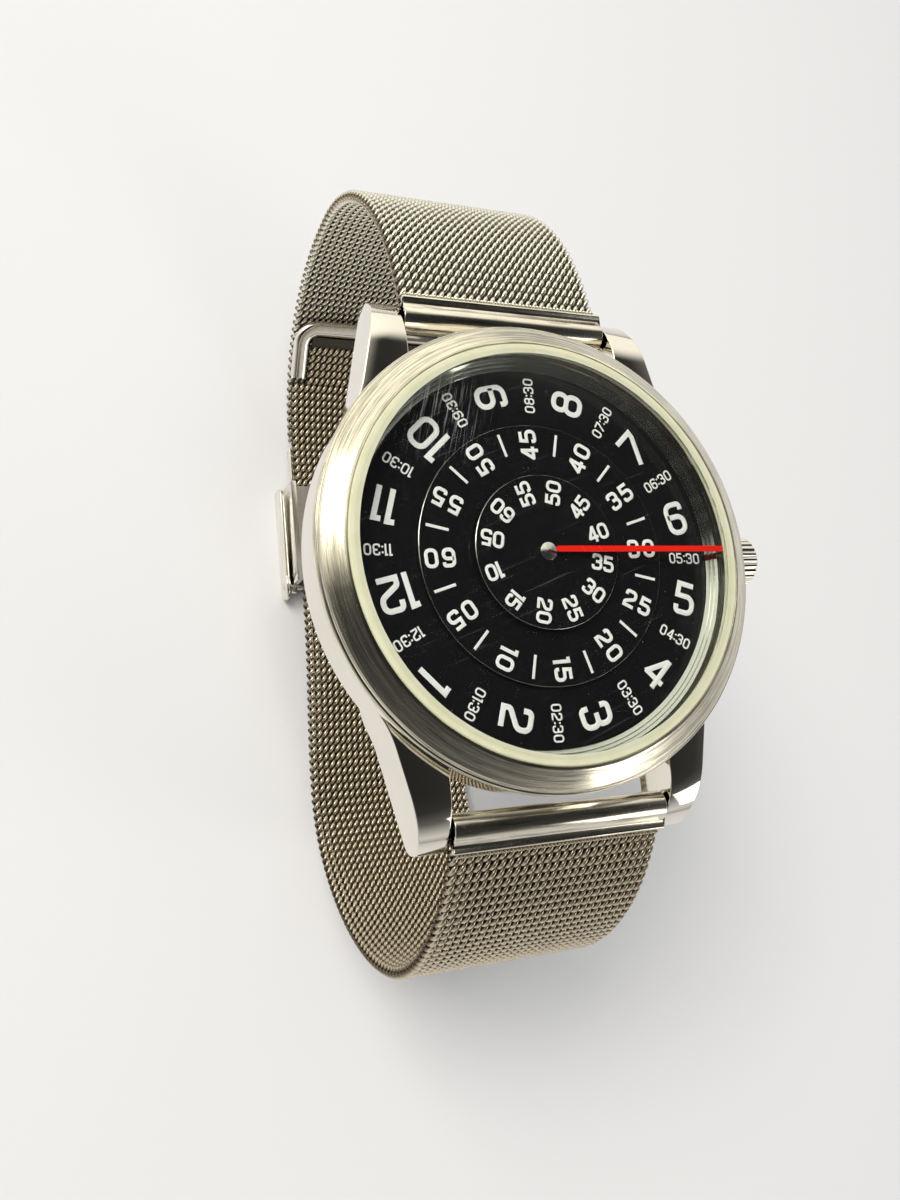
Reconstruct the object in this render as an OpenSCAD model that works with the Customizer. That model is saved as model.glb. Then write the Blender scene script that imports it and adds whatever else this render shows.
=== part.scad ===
// Wristwatch that shows the time on three turning discs, on a woven steel strap.
// Millimetres. The origin is the centre of the case back's outer face, +Z goes up
// through the dial, +X to the crown at 3 o'clock and +Y to 12 o'clock.

/* [Case] */
// Outer radius of the bezel; the band is a little smaller
case_r = 19.8; // [19.6:0.1:20.6]
// Width from the band's bore to the bezel's outside
case_wall = 2.6; // [2.4:0.05:2.7]
// Height of the band's shoulder, where the bezel sits, above the plate under the discs
shoulder_up = 1.7; // [1.4:0.05:1.8]
// Height of a lug's flat top above the plate under the discs
lug_up = 0.75; // [0.5:0.05:0.9]
// Thickness of the case back
back_t = 1; // [0.9:0.05:1.1]
// Clear width between a pair of lugs
lug_gap = 20; // [19.8:0.1:20.4]
// Width of a lug across its tip
lug_w = 2.3; // [2.1:0.1:2.8]
// Slope of a lug's outer flank against the 12 o'clock line, in degrees
lug_flank = 13; // [10:1:16]
// Distance from a spring bar to the lug tips
lug_past = 1.8; // [1.5:0.1:2.4]
// Radius of the hollow between the band and a lug's flank
waist_r = 9; // [7:0.5:11]
// Radius of the curve in which a lug's top falls to its tip
fall_r = 5.4; // [5.2:0.1:6]

/* [Bezel and crystal] */
// Width of the bezel's sloping face and its inner wall
bezel_w = 2.2; // [1.9:0.05:2.3]
// Width of the step line at the bezel's outer edge
bezel_step = 0.25; // [0.15:0.05:0.4]
// Thickness of the flat crystal
crystal_t = 1.3; // [1.1:0.1:1.6]
// Room between the seconds disc and the crystal
crystal_gap = 0.8; // [0.6:0.05:0.9]
// Width of the gasket ring round the crystal
gasket_w = 0.5; // [0.45:0.05:0.6]
// Thickness of the polished ring at its foot, beside the hours disc
rehaut_t = 0.6; // [0.5:0.05:0.7]
// Height of the polished ring's sloping foot above the hours disc
rehaut_foot = 0.6; // [0.4:0.05:0.8]

/* [Discs] */
// Radius of the seconds disc
second_disc_r = 6.5; // [6:0.1:7]
// Radius of the minutes disc
minute_disc_r = 11; // [10.5:0.1:11.5]
// Running gap between the hours disc and the polished ring
hour_disc_gap = 0.25; // [0.2:0.05:0.5]
// Thickness of each disc
disc_t = 0.2; // [0.15:0.01:0.22]
// Gap between the hours disc and the minutes disc
disc_gap = 0.22; // [0.18:0.01:0.25]
// Gap between the minutes disc and the seconds disc
second_gap = 0.47; // [0.3:0.01:0.6]
// Width of the fixed pointer under the crystal
pointer_w = 0.5; // [0.3:0.05:0.8]
// Radius of the cone on the seconds disc
hub_r = 0.75; // [0.6:0.05:1]

/* [Movement] */
// Radius of the movement's main plate
plate_r = 11.6; // [11.4:0.1:12]
// Thickness of the main plate
plate_t = 0.6; // [0.5:0.05:0.65]
// Thickness of the train bridge
bridge_t = 0.4; // [0.35:0.05:0.45]
// Height of the space that holds the wheel train
train_h = 1.5; // [1.45:0.05:1.6]
// Height of the space under the dial plate that holds the motion work
motion_h = 0.8; // [0.8:0.02:0.9]
// Thickness of the plate under the discs
dial_t = 0.3; // [0.25:0.05:0.35]
// Thickness of the circuit board
board_t = 0.25; // [0.2:0.05:0.3]
// Radius of the battery
battery_r = 3.4; // [3:0.1:3.45]
// Radius of the seconds arbor
arbor_r = 0.15; // [0.12:0.01:0.18]
// Wall of the pipes that carry the minutes and hours discs
pipe_t = 0.25; // [0.2:0.01:0.28]
// Radial clearance of every turning fit
run_gap = 0.05; // [0.03:0.01:0.07]

/* [Crown] */
// Radius of the crown
crown_r = 2.3; // [1.8:0.1:2.4]
// Length of the crown
crown_l = 2.9; // [2.4:0.1:3.2]
// Flutes round the crown
crown_flutes = 24; // [16:1:28]
// Travel of the crown when it is pulled to set the time
crown_pull = 1; // [0.8:0.1:1.2]
// Radius of the winding stem
stem_r = 0.4; // [0.35:0.01:0.44]

/* [Strap] */
// How much narrower than the lugs' gap the woven strap is
mesh_play = 0.5; // [0.4:0.1:1.2]
// Thickness of the woven strap
mesh_t = 1.3; // [1:0.05:1.4]
// Distance from the case's edge to the spring bars
bar_out = 1.6; // [1.5:0.1:1.8]
// Height of the spring bars above the case back
bar_z = 3.4; // [3:0.1:3.5]
// Radius of a spring bar's barrel
bar_r = 0.75; // [0.65:0.05:0.8]
// Radius of a spring bar's tips
bar_tip_r = 0.4; // [0.3:0.05:0.5]
// Wall of the folded sleeve round a spring bar
sleeve_t = 0.42; // [0.35:0.01:0.5]
// Slope of the strap as it leaves the 12 o'clock sleeve, in degrees
slope_12 = 8; // [0:1:15]
// Slope of the strap as it leaves the 6 o'clock sleeve, in degrees
slope_6 = 28; // [20:1:34]
// Widest reach of the 12 o'clock half from the dial axis
reach_12 = 42.3; // [40:0.1:44]
// Widest reach of the 6 o'clock half from the dial axis
reach_6 = 34.3; // [33:0.1:37]
// Depth of the widest points below the case back
reach_drop = 15.6; // [14:0.1:18]
// Depth of the surface that the watch stands on below the case back
loop_drop = 38.5; // [37:0.1:41]
// Distance from the dial axis to the low point of the 6 o'clock half
belly_y = 17.5; // [15:0.1:19]

/* [Clasp] */
// Distance from the dial axis to the cover's hinge pin
clasp_y = 7; // [6:0.1:8]
// Length of the clasp's tray from the hinge pin
tray_l = 12; // [11.5:0.1:13]
// Thickness of the clasp's cover
cover_t = 0.7; // [0.5:0.05:0.7]
// Thickness of the tray's sheet
tray_t = 0.6; // [0.4:0.05:0.65]
// Clearance between parts of the clasp that move apart
clasp_gap = 0.3; // [0.25:0.01:0.35]
// Radius of the cover's hinge pin
hinge_pin_r = 0.4; // [0.3:0.05:0.45]
// Radius of the cross bar that the hook holds
hook_bar_r = 0.45; // [0.35:0.05:0.5]
// Play of the cross bar in the hook
hook_play = 0.8; // [0.8:0.05:1]
// Length of the steel rim on the strap's free end
rim_l = 5; // [4:0.1:6]
// Width of that rim
rim_w = 1.8; // [1:0.1:2.2]

/* [Hidden] */
$fn = 96;

steel = [0.78, 0.77, 0.74];
bright_steel = [0.86, 0.86, 0.85];
brass = [0.80, 0.66, 0.36];
black = [0.03, 0.03, 0.035];
cream = [0.87, 0.86, 0.70];
red = [0.85, 0.06, 0.05];

// A hair of play between pieces that are pressed or laid together
fit_gap = 0.02;
eps = 0.01;

// Heights of the movement's layers, from the case back up
board_z = back_t + run_gap;
bridge_z = board_z + board_t;
train_z = bridge_z + bridge_t;
plate_z = train_z + train_h;
motion_z = plate_z + plate_t;
dial_z = motion_z + motion_h;
hour_z = dial_z + dial_t + disc_gap + 0.04;
minute_z = hour_z + disc_t + disc_gap;
second_z = minute_z + disc_t + second_gap;
crystal_z = second_z + disc_t + crystal_gap;
case_h = crystal_z + crystal_t;
shoulder_z = dial_z + shoulder_up;
case_bore_r = case_r - case_wall;
band_r = case_r - 0.2;
bar_y = case_r + bar_out;
lug_reach = bar_y + lug_past;
mesh_w = lug_gap - mesh_play;

// Radii of the crystal, its gasket and the polished ring
bezel_in_r = case_r - bezel_w;
gasket_r = bezel_in_r - fit_gap;
crystal_r = gasket_r - gasket_w;
rehaut_r = case_bore_r - fit_gap;
rehaut_in_r = rehaut_r - rehaut_t;
hour_disc_r = rehaut_in_r - hour_disc_gap;
gasket_foot = 0.15;
gasket_foot_w = 0.2;
pointer_t = 0.12;

// Wheel levels inside the train space, each the underside of a wheel
wheel_t = 0.2;
level_c = train_z + 0.15;
level_b = level_c + 0.4;
level_a = level_b + 0.4;

// Teeth, and the centre distance of each pair of axes
third_at = 4.0;
third_dir = 230;
fifth_at = 3.5;
fifth_dir = 110;
rotor_at = 2.4;
rotor_dir = 160;
work_at = 3.0;
work_dir = 60;
second_teeth = 60;
second_pinion = 8;
third_teeth = 60;
third_pinion = 8;
minute_teeth = 64;
cannon_teeth = 12;
work_teeth = 36;
work_pinion = 10;
hour_teeth = 40;
fifth_teeth = 40;
fifth_pinion = 10;
rotor_pinion = 8;
third_xy = third_at * [cos(third_dir), sin(third_dir)];
fifth_xy = fifth_at * [cos(fifth_dir), sin(fifth_dir)];
rotor_xy = fifth_xy + rotor_at * [cos(rotor_dir), sin(rotor_dir)];
work_xy = work_at * [cos(work_dir), sin(work_dir)];
pivot_r = 0.12;
work_post_r = 0.25;

// Nested pipes at the centre
minute_bore_r = arbor_r + run_gap;
minute_pipe_r = minute_bore_r + pipe_t;
hour_bore_r = minute_pipe_r + run_gap;
hour_pipe_r = hour_bore_r + pipe_t;

// Movement parts round the train
battery_xy = [4.5, -6.2];
coil_r = 0.9;
coil_l = 8.6;
coil_xy = [-1.2, 8.6];
quartz_xy = [7.6, 4.6];
leg_xy = [[5.3, 4.3], [-6.6, 0.9], [-0.8, -7.6]];
leg_r = 0.6;
stator_t = 0.3;
stator_z = level_a + 0.05;
rotor_r = 0.9;

// Crown line
stem_z = (train_z + plate_z) / 2 + 0.1;
tube_r = 1;
tube_out_x = case_r + 0.5;
crown_x = tube_out_x + 0.2;
clutch_x = 5.6;
clutch_l = 1.4;
clutch_r = 0.58;
square_w = 0.5;
lever_x = 8.6;
lever_arm = 1.8;
groove_w = 0.62;
groove_r = 0.2;

// Strap loop and clasp, as heights above the surface that the watch stands on
rest_z = -loop_drop;
hook_z = rest_z + cover_t + clasp_gap + mesh_t / 2;
tail_z = hook_z + mesh_t + clasp_gap;
sleeve_l = bar_r + run_gap + sleeve_t + 0.4;
pocket_at = bar_r + run_gap + 0.15;
sleeve_w = lug_gap - 2 * clasp_gap;
tray_in_w = mesh_w / 2 + 0.3;
tray_w = tray_in_w + tray_t;
flange_w = tray_w + clasp_gap;
flange_t = 0.5;
tray_end = clasp_y + tray_l;
hinge_z = rest_z + cover_t + 0.9;
hook_bar_y = tray_end + 0.5 + hook_bar_r + clasp_gap;
hook_lip_y = hook_bar_y + hook_bar_r + hook_play;
hook_lip_t = 0.6;
crimp_y = hook_lip_y + hook_lip_t + 0.45;
crimp_l = 1.6;
mesh_end_y = crimp_y + crimp_l;
lock_pin_r = 0.35;
lock_pin_y = clasp_y + 1.4;
lock_barrel_r = 0.6;
lock_gap = 0.15;
lock_pin_z = tail_z + mesh_t / 2 + lock_gap + lock_barrel_r;
lock_t = 0.5;

// Point at share t of a cubic curve
function curve(p, t) = pow(1 - t, 3) * p[0] + 3 * t * pow(1 - t, 2) * p[1]
    + 3 * t * t * (1 - t) * p[2] + pow(t, 3) * p[3];
// Points of a curve from share a to share b, in n steps, without the first
function run(p, a, b, n) = [for (i = [1:n]) curve(p, a + (b - a) * i / n)];
// Unit direction along a path at point i
function along(path, i) = let (d = path[min(i + 1, len(path) - 1)] - path[max(i - 1, 0)]) d / norm(d);
// Path moved sideways by s, to the left of its direction
function beside(path, s) = [for (i = [0:len(path) - 1])
    let (d = along(path, i)) path[i] + s * [-d[1], d[0]]];
// Outline of a band of thickness t along a path
function band(path, t) = concat(beside(path, t / 2),
    [for (i = [len(path) - 1:-1:0]) beside(path, -t / 2)[i]]);
function reversed(list) = [for (i = [len(list) - 1:-1:0]) list[i]];

// Middle line of the 12 o'clock half in the Y-Z plane, from its sleeve to the hook
dir_12 = [cos(slope_12), -sin(slope_12)];
pocket_12 = [bar_y, bar_z] + pocket_at * dir_12;
start_12 = [bar_y, bar_z] + (sleeve_l + 0.1) * dir_12;
wide_12 = [reach_12, -reach_drop];
end_12 = [mesh_end_y, hook_z];
upper_12 = [start_12, start_12 + 12 * dir_12, wide_12 + [0, 8], wide_12];
lower_12 = [wide_12, wide_12 - [0, 13], end_12 + [11, 0], end_12];
path_12 = concat([pocket_12, start_12], run(upper_12, 0, 1, 14), run(lower_12, 0, 1, 16));

// Middle line of the 6 o'clock half, with its free end inside the other half
dir_6 = [-cos(slope_6), -sin(slope_6)];
pocket_6 = [-bar_y, bar_z] + pocket_at * dir_6;
start_6 = [-bar_y, bar_z] + (sleeve_l + 0.1) * dir_6;
wide_6 = [-reach_6, -reach_drop];
belly = [-belly_y, rest_z + mesh_t / 2];
entry = [clasp_y - 3, tail_z];
upper_6 = [start_6, start_6 + 8 * dir_6, wide_6 + [0, 7], wide_6];
lower_6 = [wide_6, wide_6 - [0, 12], belly - [8, 0], belly];
rise_6 = [belly, belly + [8, 0], entry - [8, 0], entry];
tail_share = 0.5;
tail_gap = 0.5;
tail_line = beside(concat([end_12], reversed(run(lower_12, tail_share, 1, 9))),
    mesh_t + tail_gap);
tail_path = [for (i = [1:len(tail_line) - 1]) tail_line[i]];
path_6 = concat([pocket_6, start_6], run(upper_6, 0, 1, 12), run(lower_6, 0, 1, 14),
    run(rise_6, 0, 1, 10), [[tray_end, tail_z]], [[mesh_end_y, tail_z]],
    [for (p = tail_path) if (p[0] > mesh_end_y + 0.5) p]);
tail_end = path_6[len(path_6) - 1];
// Direction of the straight rim: along the last stretch of the tail
rim_from = [for (p = path_6) if (p[0] > mesh_end_y + 3 && norm(p - tail_end) > rim_l - 1.8) p];
rim_dir = (tail_end - rim_from[len(rim_from) - 1]) / norm(tail_end - rim_from[len(rim_from) - 1]);

// Turns a profile drawn in Y and Z into a solid of width w across X, from x0 up
module across(x0, w) translate([x0, 0, 0]) rotate([90, 0, 90]) linear_extrude(w) children();

// Rod along X
module rod_x(r, x0, x1, y, z) translate([x0, y, z]) rotate([0, 90, 0]) cylinder(r = r, h = x1 - x0);

// Disc or ring with its underside at z
module ring(r, r_in, z, h) translate([0, 0, z]) difference() {
    cylinder(r = r, h = h);
    if (r_in > 0) translate([0, 0, -1]) cylinder(r = r_in, h = h + 2);
}

// Outline of a toothed wheel: straight-sided teeth, one of them at angle first
function tooth_line(n, m, first) = let (pitch = 360 / n, root = m * (n / 2 - 1.2), tip = m * (n / 2 + 0.8))
    [for (i = [0:n - 1]) for (p = [[root, -0.31], [tip, -0.13], [tip, 0.13], [root, 0.31]])
        p[0] * [cos(first + pitch * (i + p[1])), sin(first + pitch * (i + p[1]))]];

// Toothed wheel of n teeth and module m, with a bore
module gear(n, m, first, h, bore) linear_extrude(h) difference() {
    polygon(tooth_line(n, m, first));
    if (bore > 0) circle(r = bore, $fn = 24);
}

// Five round windows that lighten a wheel
module windows(r, at, h) for (a = [0:72:359]) rotate(a) translate([at, 0, -1]) cylinder(r = r, h = h + 2, $fn = 20);

// One lug in plan: its straight outer flank runs through a hollow into the round band
module lug_plan() {
    tip = [lug_gap / 2 + lug_w, lug_reach];
    down = [sin(lug_flank), -cos(lug_flank)];
    out = [cos(lug_flank), sin(lug_flank)];
    far = band_r + waist_r;
    q = tip + waist_r * out;
    centre = q + (-q * down - sqrt((q * down) * (q * down) - q * q + far * far)) * down;
    difference() {
        polygon([[lug_gap / 2, case_r / 2], [lug_gap / 2, lug_reach], tip, centre - waist_r * out,
            band_r / far * centre, (band_r - 2) / far * centre]);
        translate(centre) circle(r = waist_r, $fn = 180);
    }
}

// Side outline of a lug: its top falls in a curve to the tip, whose lower corner is round
module lug_side() {
    r = 0.9;
    top = dial_z + lug_up;
    fall_y = case_r - 1.5;
    difference() {
        union() {
            polygon([[8, 0.6], [lug_reach - 1.2, 0.35], [lug_reach - 1.2, 1], [fall_y, top], [8, top]]);
            intersection() {
                translate([fall_y, top - fall_r]) circle(r = fall_r, $fn = 180);
                translate([fall_y - eps, 0.35]) square([lug_reach - fall_y + eps, top]);
            }
        }
        translate([lug_reach - r, 0.35 + r]) difference() {
            translate([0, -r - 1]) square([r + 1, r + 1]);
            circle(r = r);
        }
    }
}

module lug() intersection() {
    linear_extrude(shoulder_z) lug_plan();
    across(0, case_r) lug_side();
}

module case_middle() color(bright_steel) difference() {
    union() {
        rotate_extrude($fn = 180) polygon([[case_bore_r, back_t], [band_r - 0.9, back_t], [band_r - 0.3, back_t + 0.5],
            [band_r, back_t + 1.4], [band_r, shoulder_z - 0.2], [band_r - 0.2, shoulder_z],
            [case_bore_r, shoulder_z]]);
        for (sx = [0, 1]) for (sy = [0, 1]) mirror([sx, 0, 0]) mirror([0, sy, 0]) lug();
    }
    translate([0, 0, -1]) cylinder(r = case_bore_r, h = case_h, $fn = 180);
    translate([0, 0, -1]) cylinder(r = case_bore_r + 0.75, h = back_t + 1, $fn = 180);
    rod_x(tube_r + fit_gap, case_bore_r - 1, case_r + 1, 0, stem_z);
    for (sy = [-1, 1])
        rod_x(bar_tip_r + run_gap, -lug_gap / 2 - 1.3, lug_gap / 2 + 1.3, sy * bar_y, bar_z);
}

module bezel() color(steel) rotate_extrude($fn = 180) polygon([[case_bore_r + 0.05, shoulder_z],
    [case_r - 0.15, shoulder_z], [case_r, shoulder_z + 0.15], [case_r, shoulder_z + 0.6],
    [case_r - bezel_step, shoulder_z + 0.8], [case_r - bezel_step - 0.05, shoulder_z + 0.95],
    [bezel_in_r + 0.25, case_h - 0.2], [bezel_in_r, case_h - 0.1],
    [bezel_in_r, crystal_z - gasket_foot], [case_bore_r + 0.05, crystal_z - gasket_foot]]);

module crystal() color([0.8, 0.88, 0.9, 0.3]) rotate_extrude($fn = 180) polygon([[0, crystal_z],
    [crystal_r - fit_gap, crystal_z], [crystal_r - fit_gap, case_h - 0.15],
    [crystal_r - fit_gap - 0.25, case_h], [0, case_h]]);

module crystal_gasket() color(cream) rotate_extrude($fn = 180) polygon([
    [crystal_r - gasket_foot_w, crystal_z - gasket_foot], [gasket_r, crystal_z - gasket_foot],
    [gasket_r, case_h - 0.2], [gasket_r - 0.1, case_h - 0.1], [crystal_r + 0.1, case_h - 0.1],
    [crystal_r, case_h - 0.2], [crystal_r, crystal_z], [crystal_r - gasket_foot_w, crystal_z]]);

module rehaut_ring() color(bright_steel) rotate_extrude($fn = 180) polygon([
    [rehaut_in_r, dial_z + dial_t], [rehaut_r, dial_z + dial_t], [rehaut_r, crystal_z - gasket_foot],
    [crystal_r - gasket_foot_w, crystal_z - gasket_foot],
    [crystal_r - gasket_foot_w, hour_z + disc_t + rehaut_foot], [rehaut_in_r, hour_z + disc_t - 0.1]]);

module pointer() color(red) {
    x0 = 0.3;
    x1 = crystal_r - gasket_foot_w - 0.1;
    translate([x0 + pointer_w / 2, -pointer_w / 2, crystal_z - pointer_t])
        cube([x1 - x0 - pointer_w / 2, pointer_w, pointer_t]);
    translate([x0 + pointer_w / 2, 0, crystal_z - pointer_t]) cylinder(r = pointer_w / 2, h = pointer_t, $fn = 32);
}

module case_back() color(steel) rotate_extrude($fn = 180) polygon([[0, 0], [case_bore_r + 0.3, 0],
    [case_bore_r + 0.7, 0.4], [case_bore_r + 0.7, back_t], [case_bore_r + 0.5, back_t],
    [case_bore_r + 0.5, back_t - 0.4], [case_bore_r + 0.1, back_t - 0.4], [case_bore_r + 0.1, back_t],
    [case_bore_r - 0.05, back_t], [case_bore_r - 0.05, back_t + 0.6], [case_bore_r - 0.25, back_t + 0.6],
    [case_bore_r - 0.25, back_t], [0, back_t]]);

module case_back_gasket() color(black) ring(case_bore_r + 0.5 - fit_gap, case_bore_r + 0.1 + fit_gap,
    back_t - 0.4, 0.4 - fit_gap);

module crown_tube() color(steel) difference() {
    rod_x(tube_r, case_bore_r + 0.1, tube_out_x, 0, stem_z);
    rod_x(stem_r + run_gap, case_bore_r - 1, tube_out_x + 1, 0, stem_z);
}

module movement_holder() color([0.9, 0.9, 0.88]) difference() {
    ring(case_bore_r - 0.3, plate_r + 0.1, board_z, dial_z - board_z);
    translate([0, -1.2, stem_z - 0.9]) cube([case_r, 2.4, 1.8]);
}

module dial_plate() color(black) ring(case_bore_r - fit_gap, hour_pipe_r + 0.2, dial_z, dial_t);

module main_plate() color(brass) difference() {
    union() {
        ring(plate_r, 0, plate_z, plate_t);
        translate([work_xy[0], work_xy[1], motion_z - eps]) cylinder(r = work_post_r, h = motion_h - 0.1, $fn = 24);
        translate([lever_x, -lever_arm, train_z + 0.1]) cylinder(r = 0.25, h = train_h, $fn = 24);
    }
    translate([0, 0, -1]) cylinder(r = minute_pipe_r + run_gap, h = case_h, $fn = 32);
    for (p = [third_xy, fifth_xy, rotor_xy])
        translate([p[0], p[1], -1]) cylinder(r = pivot_r + run_gap, h = case_h, $fn = 24);
}

// Bridge on three legs, with holes for the train's lower pivots
module train_bridge() color(bright_steel) difference() {
    union() {
        translate([-0.4, 0, bridge_z]) intersection() {
            cylinder(r = 7.6, h = bridge_t);
            translate([-8, -8.4, 0]) cube([16, 14.6, bridge_t]);
        }
        for (p = leg_xy) {
            translate([p[0], p[1], bridge_z]) cylinder(r = leg_r + 0.3, h = bridge_t, $fn = 32);
            translate([p[0], p[1], train_z - eps]) cylinder(r = leg_r, h = train_h + eps, $fn = 32);
        }
    }
    translate([battery_xy[0], battery_xy[1], 0]) cylinder(r = battery_r + 0.3, h = plate_z);
    translate([0, 0, -1]) cylinder(r = arbor_r + run_gap, h = case_h, $fn = 24);
    for (p = [third_xy, fifth_xy, rotor_xy])
        translate([p[0], p[1], -1]) cylinder(r = pivot_r + run_gap, h = case_h, $fn = 24);
    for (p = leg_xy) translate([p[0], p[1], -1]) cylinder(r = 0.3, h = case_h, $fn = 24);
}

// Screws through the bridge's legs, with slotted heads on its back
module bridge_screws() color([0.35, 0.4, 0.6]) for (p = leg_xy) translate([p[0], p[1], 0]) {
    translate([0, 0, bridge_z]) cylinder(r = 0.3 - fit_gap, h = plate_z - bridge_z, $fn = 24);
    difference() {
        translate([0, 0, board_z]) cylinder(r = 0.55, h = bridge_z - board_z, $fn = 24);
        translate([-1, -0.06, board_z - 0.1]) cube([2, 0.12, 0.2]);
    }
}

module circuit_board() color([0.1, 0.35, 0.2]) difference() {
    translate([0, 0, board_z]) linear_extrude(board_t)
        polygon([[2, 2.2], [10.6, 2.2], [9.8, 5.4], [7.4, 7.4], [2, 7.4]]);
    translate([leg_xy[0][0], leg_xy[0][1], 0]) cylinder(r = 0.75, h = plate_z, $fn = 32);
}

module quartz_can() color(bright_steel) translate([quartz_xy[0], quartz_xy[1] - 2.2, bridge_z + 0.75])
    rotate([-90, 0, 0]) cylinder(r = 0.75, h = 4.4, $fn = 32);

module coil() translate([coil_xy[0], coil_xy[1], board_z + coil_r]) {
    color([0.75, 0.38, 0.2]) translate([-coil_l / 2, 0, 0]) rotate([0, 90, 0]) cylinder(r = coil_r, h = coil_l, $fn = 48);
    color([0.45, 0.45, 0.47]) for (s = [-1, 1])
        translate([s * (coil_l / 2 + 0.55) - 0.55, -0.8, -0.35]) cube([1.1, 1.6, stator_z - board_z - coil_r + 0.35]);
}

// Plate that guides the coil's field round the rotor and back to the coil's ends
module stator() color([0.6, 0.6, 0.62]) translate([0, 0, stator_z]) difference() {
    union() {
        translate([rotor_xy[0], rotor_xy[1], 0]) cylinder(r = rotor_r + 0.65, h = stator_t);
        linear_extrude(stator_t) polygon([rotor_xy + [-1.3, 0.3], [-6.7, 7.8], [-6.7, 9.3], [-5.6, 9.3], [-5.6, 8],
            rotor_xy + [0.2, 1.3]]);
        linear_extrude(stator_t) polygon([rotor_xy + [-0.4, 1.2], [3.2, 8], [3.2, 9.3], [4.1, 9.3], [4.1, 7.3],
            rotor_xy + [1.2, 0.7]]);
    }
    translate([rotor_xy[0], rotor_xy[1], -1]) cylinder(r = rotor_r + 0.2, h = 3);
}

module battery() color(steel) translate([battery_xy[0], battery_xy[1], board_z])
    rotate_extrude() polygon([[0, 0], [battery_r - 0.2, 0], [battery_r, 0.2], [battery_r, plate_z - board_z],
        [0, plate_z - board_z]]);

// Sprung strip beside the battery that presses on its rim
module battery_clip() color(brass) translate([battery_xy[0], battery_xy[1], train_z]) difference() {
    ring(battery_r + 0.25, battery_r + fit_gap, 0, train_h);
    translate([-6, 0, -1]) cube([12, 6, 4]);
    translate([-6, -6, -1]) cube([3, 12, 4]);
}

module hour_disc() color(black) ring(hour_disc_r, hour_bore_r, hour_z, disc_t);

module hour_wheel() color(brass) {
    z = motion_z + 0.5;
    difference() {
        translate([0, 0, z]) gear(hour_teeth, 2 * work_at / (hour_teeth + work_pinion), work_dir, wheel_t, hour_bore_r);
        translate([0, 0, z]) windows(0.4, 1.5, wheel_t);
    }
    ring(hour_pipe_r, hour_bore_r, z, hour_z - z);
}

module minute_disc() color(black) ring(minute_disc_r, minute_bore_r, minute_z, disc_t);

module minute_wheel() color(brass) {
    difference() {
        translate([0, 0, level_a]) gear(minute_teeth, 2 * third_at / (minute_teeth + third_pinion), third_dir, wheel_t,
            minute_bore_r);
        translate([0, 0, level_a]) windows(0.7, 2, wheel_t);
    }
    translate([0, 0, motion_z + 0.05]) gear(cannon_teeth, 2 * work_at / (cannon_teeth + work_teeth), work_dir, 0.38,
        minute_bore_r);
    ring(minute_pipe_r, minute_bore_r, level_a, minute_z - level_a);
}

module second_disc() color(black) ring(second_disc_r, 0, second_z, disc_t);

module hub_cap() color(bright_steel) translate([0, 0, second_z + disc_t])
    rotate_extrude($fn = 64) polygon([[0, 0], [hub_r, 0], [hub_r, 0.05], [0.12, 0.24], [0, 0.24]]);

module second_wheel() color(brass) {
    translate([0, 0, bridge_z + 0.1]) cylinder(r = arbor_r, h = second_z - bridge_z - 0.1, $fn = 32);
    difference() {
        translate([0, 0, level_c]) gear(second_teeth, 2 * fifth_at / (second_teeth + fifth_pinion), fifth_dir, wheel_t, 0);
        translate([0, 0, level_c]) windows(0.6, 1.7, wheel_t);
    }
    translate([0, 0, level_b - 0.1]) gear(second_pinion, 2 * third_at / (third_teeth + second_pinion), third_dir, 0.35, 0);
}

// Arbor of a train wheel between the bridge and the main plate
module train_arbor() translate([0, 0, bridge_z + 0.1]) cylinder(r = pivot_r, h = motion_z - bridge_z - 0.2, $fn = 24);

module third_wheel() color(brass) translate([third_xy[0], third_xy[1], 0]) {
    train_arbor();
    facing = third_dir + 180;
    difference() {
        translate([0, 0, level_b]) gear(third_teeth, 2 * third_at / (third_teeth + second_pinion),
            facing + 180 / third_teeth, wheel_t, 0);
        translate([0, 0, level_b]) windows(0.7, 2, wheel_t);
    }
    translate([0, 0, level_a - 0.1]) gear(third_pinion, 2 * third_at / (minute_teeth + third_pinion),
        facing + 180 / third_pinion, 0.4, 0);
}

module fifth_wheel() color(brass) translate([fifth_xy[0], fifth_xy[1], 0]) {
    train_arbor();
    difference() {
        translate([0, 0, level_b]) gear(fifth_teeth, 2 * rotor_at / (fifth_teeth + rotor_pinion), rotor_dir, wheel_t, 0);
        translate([0, 0, level_b]) windows(0.4, 1.1, wheel_t);
    }
    translate([0, 0, level_c - 0.05]) gear(fifth_pinion, 2 * fifth_at / (second_teeth + fifth_pinion),
        fifth_dir + 180 + 180 / fifth_pinion, 0.3, 0);
}

module rotor() color([0.4, 0.4, 0.42]) translate([rotor_xy[0], rotor_xy[1], 0]) {
    train_arbor();
    ring(rotor_r, 0, level_a, 0.45);
    translate([0, 0, level_b - 0.1]) gear(rotor_pinion, 2 * rotor_at / (fifth_teeth + rotor_pinion),
        rotor_dir + 180 + 180 / rotor_pinion, 0.4, 0);
}

module minute_work_wheel() color(brass) translate([work_xy[0], work_xy[1], 0]) {
    translate([0, 0, motion_z + 0.1]) gear(work_teeth, 2 * work_at / (cannon_teeth + work_teeth),
        work_dir + 180 + 180 / work_teeth, wheel_t, work_post_r + run_gap);
    translate([0, 0, motion_z + 0.3]) gear(work_pinion, 2 * work_at / (hour_teeth + work_pinion),
        work_dir + 180 + 180 / work_pinion, 0.4, work_post_r + run_gap);
}

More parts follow.
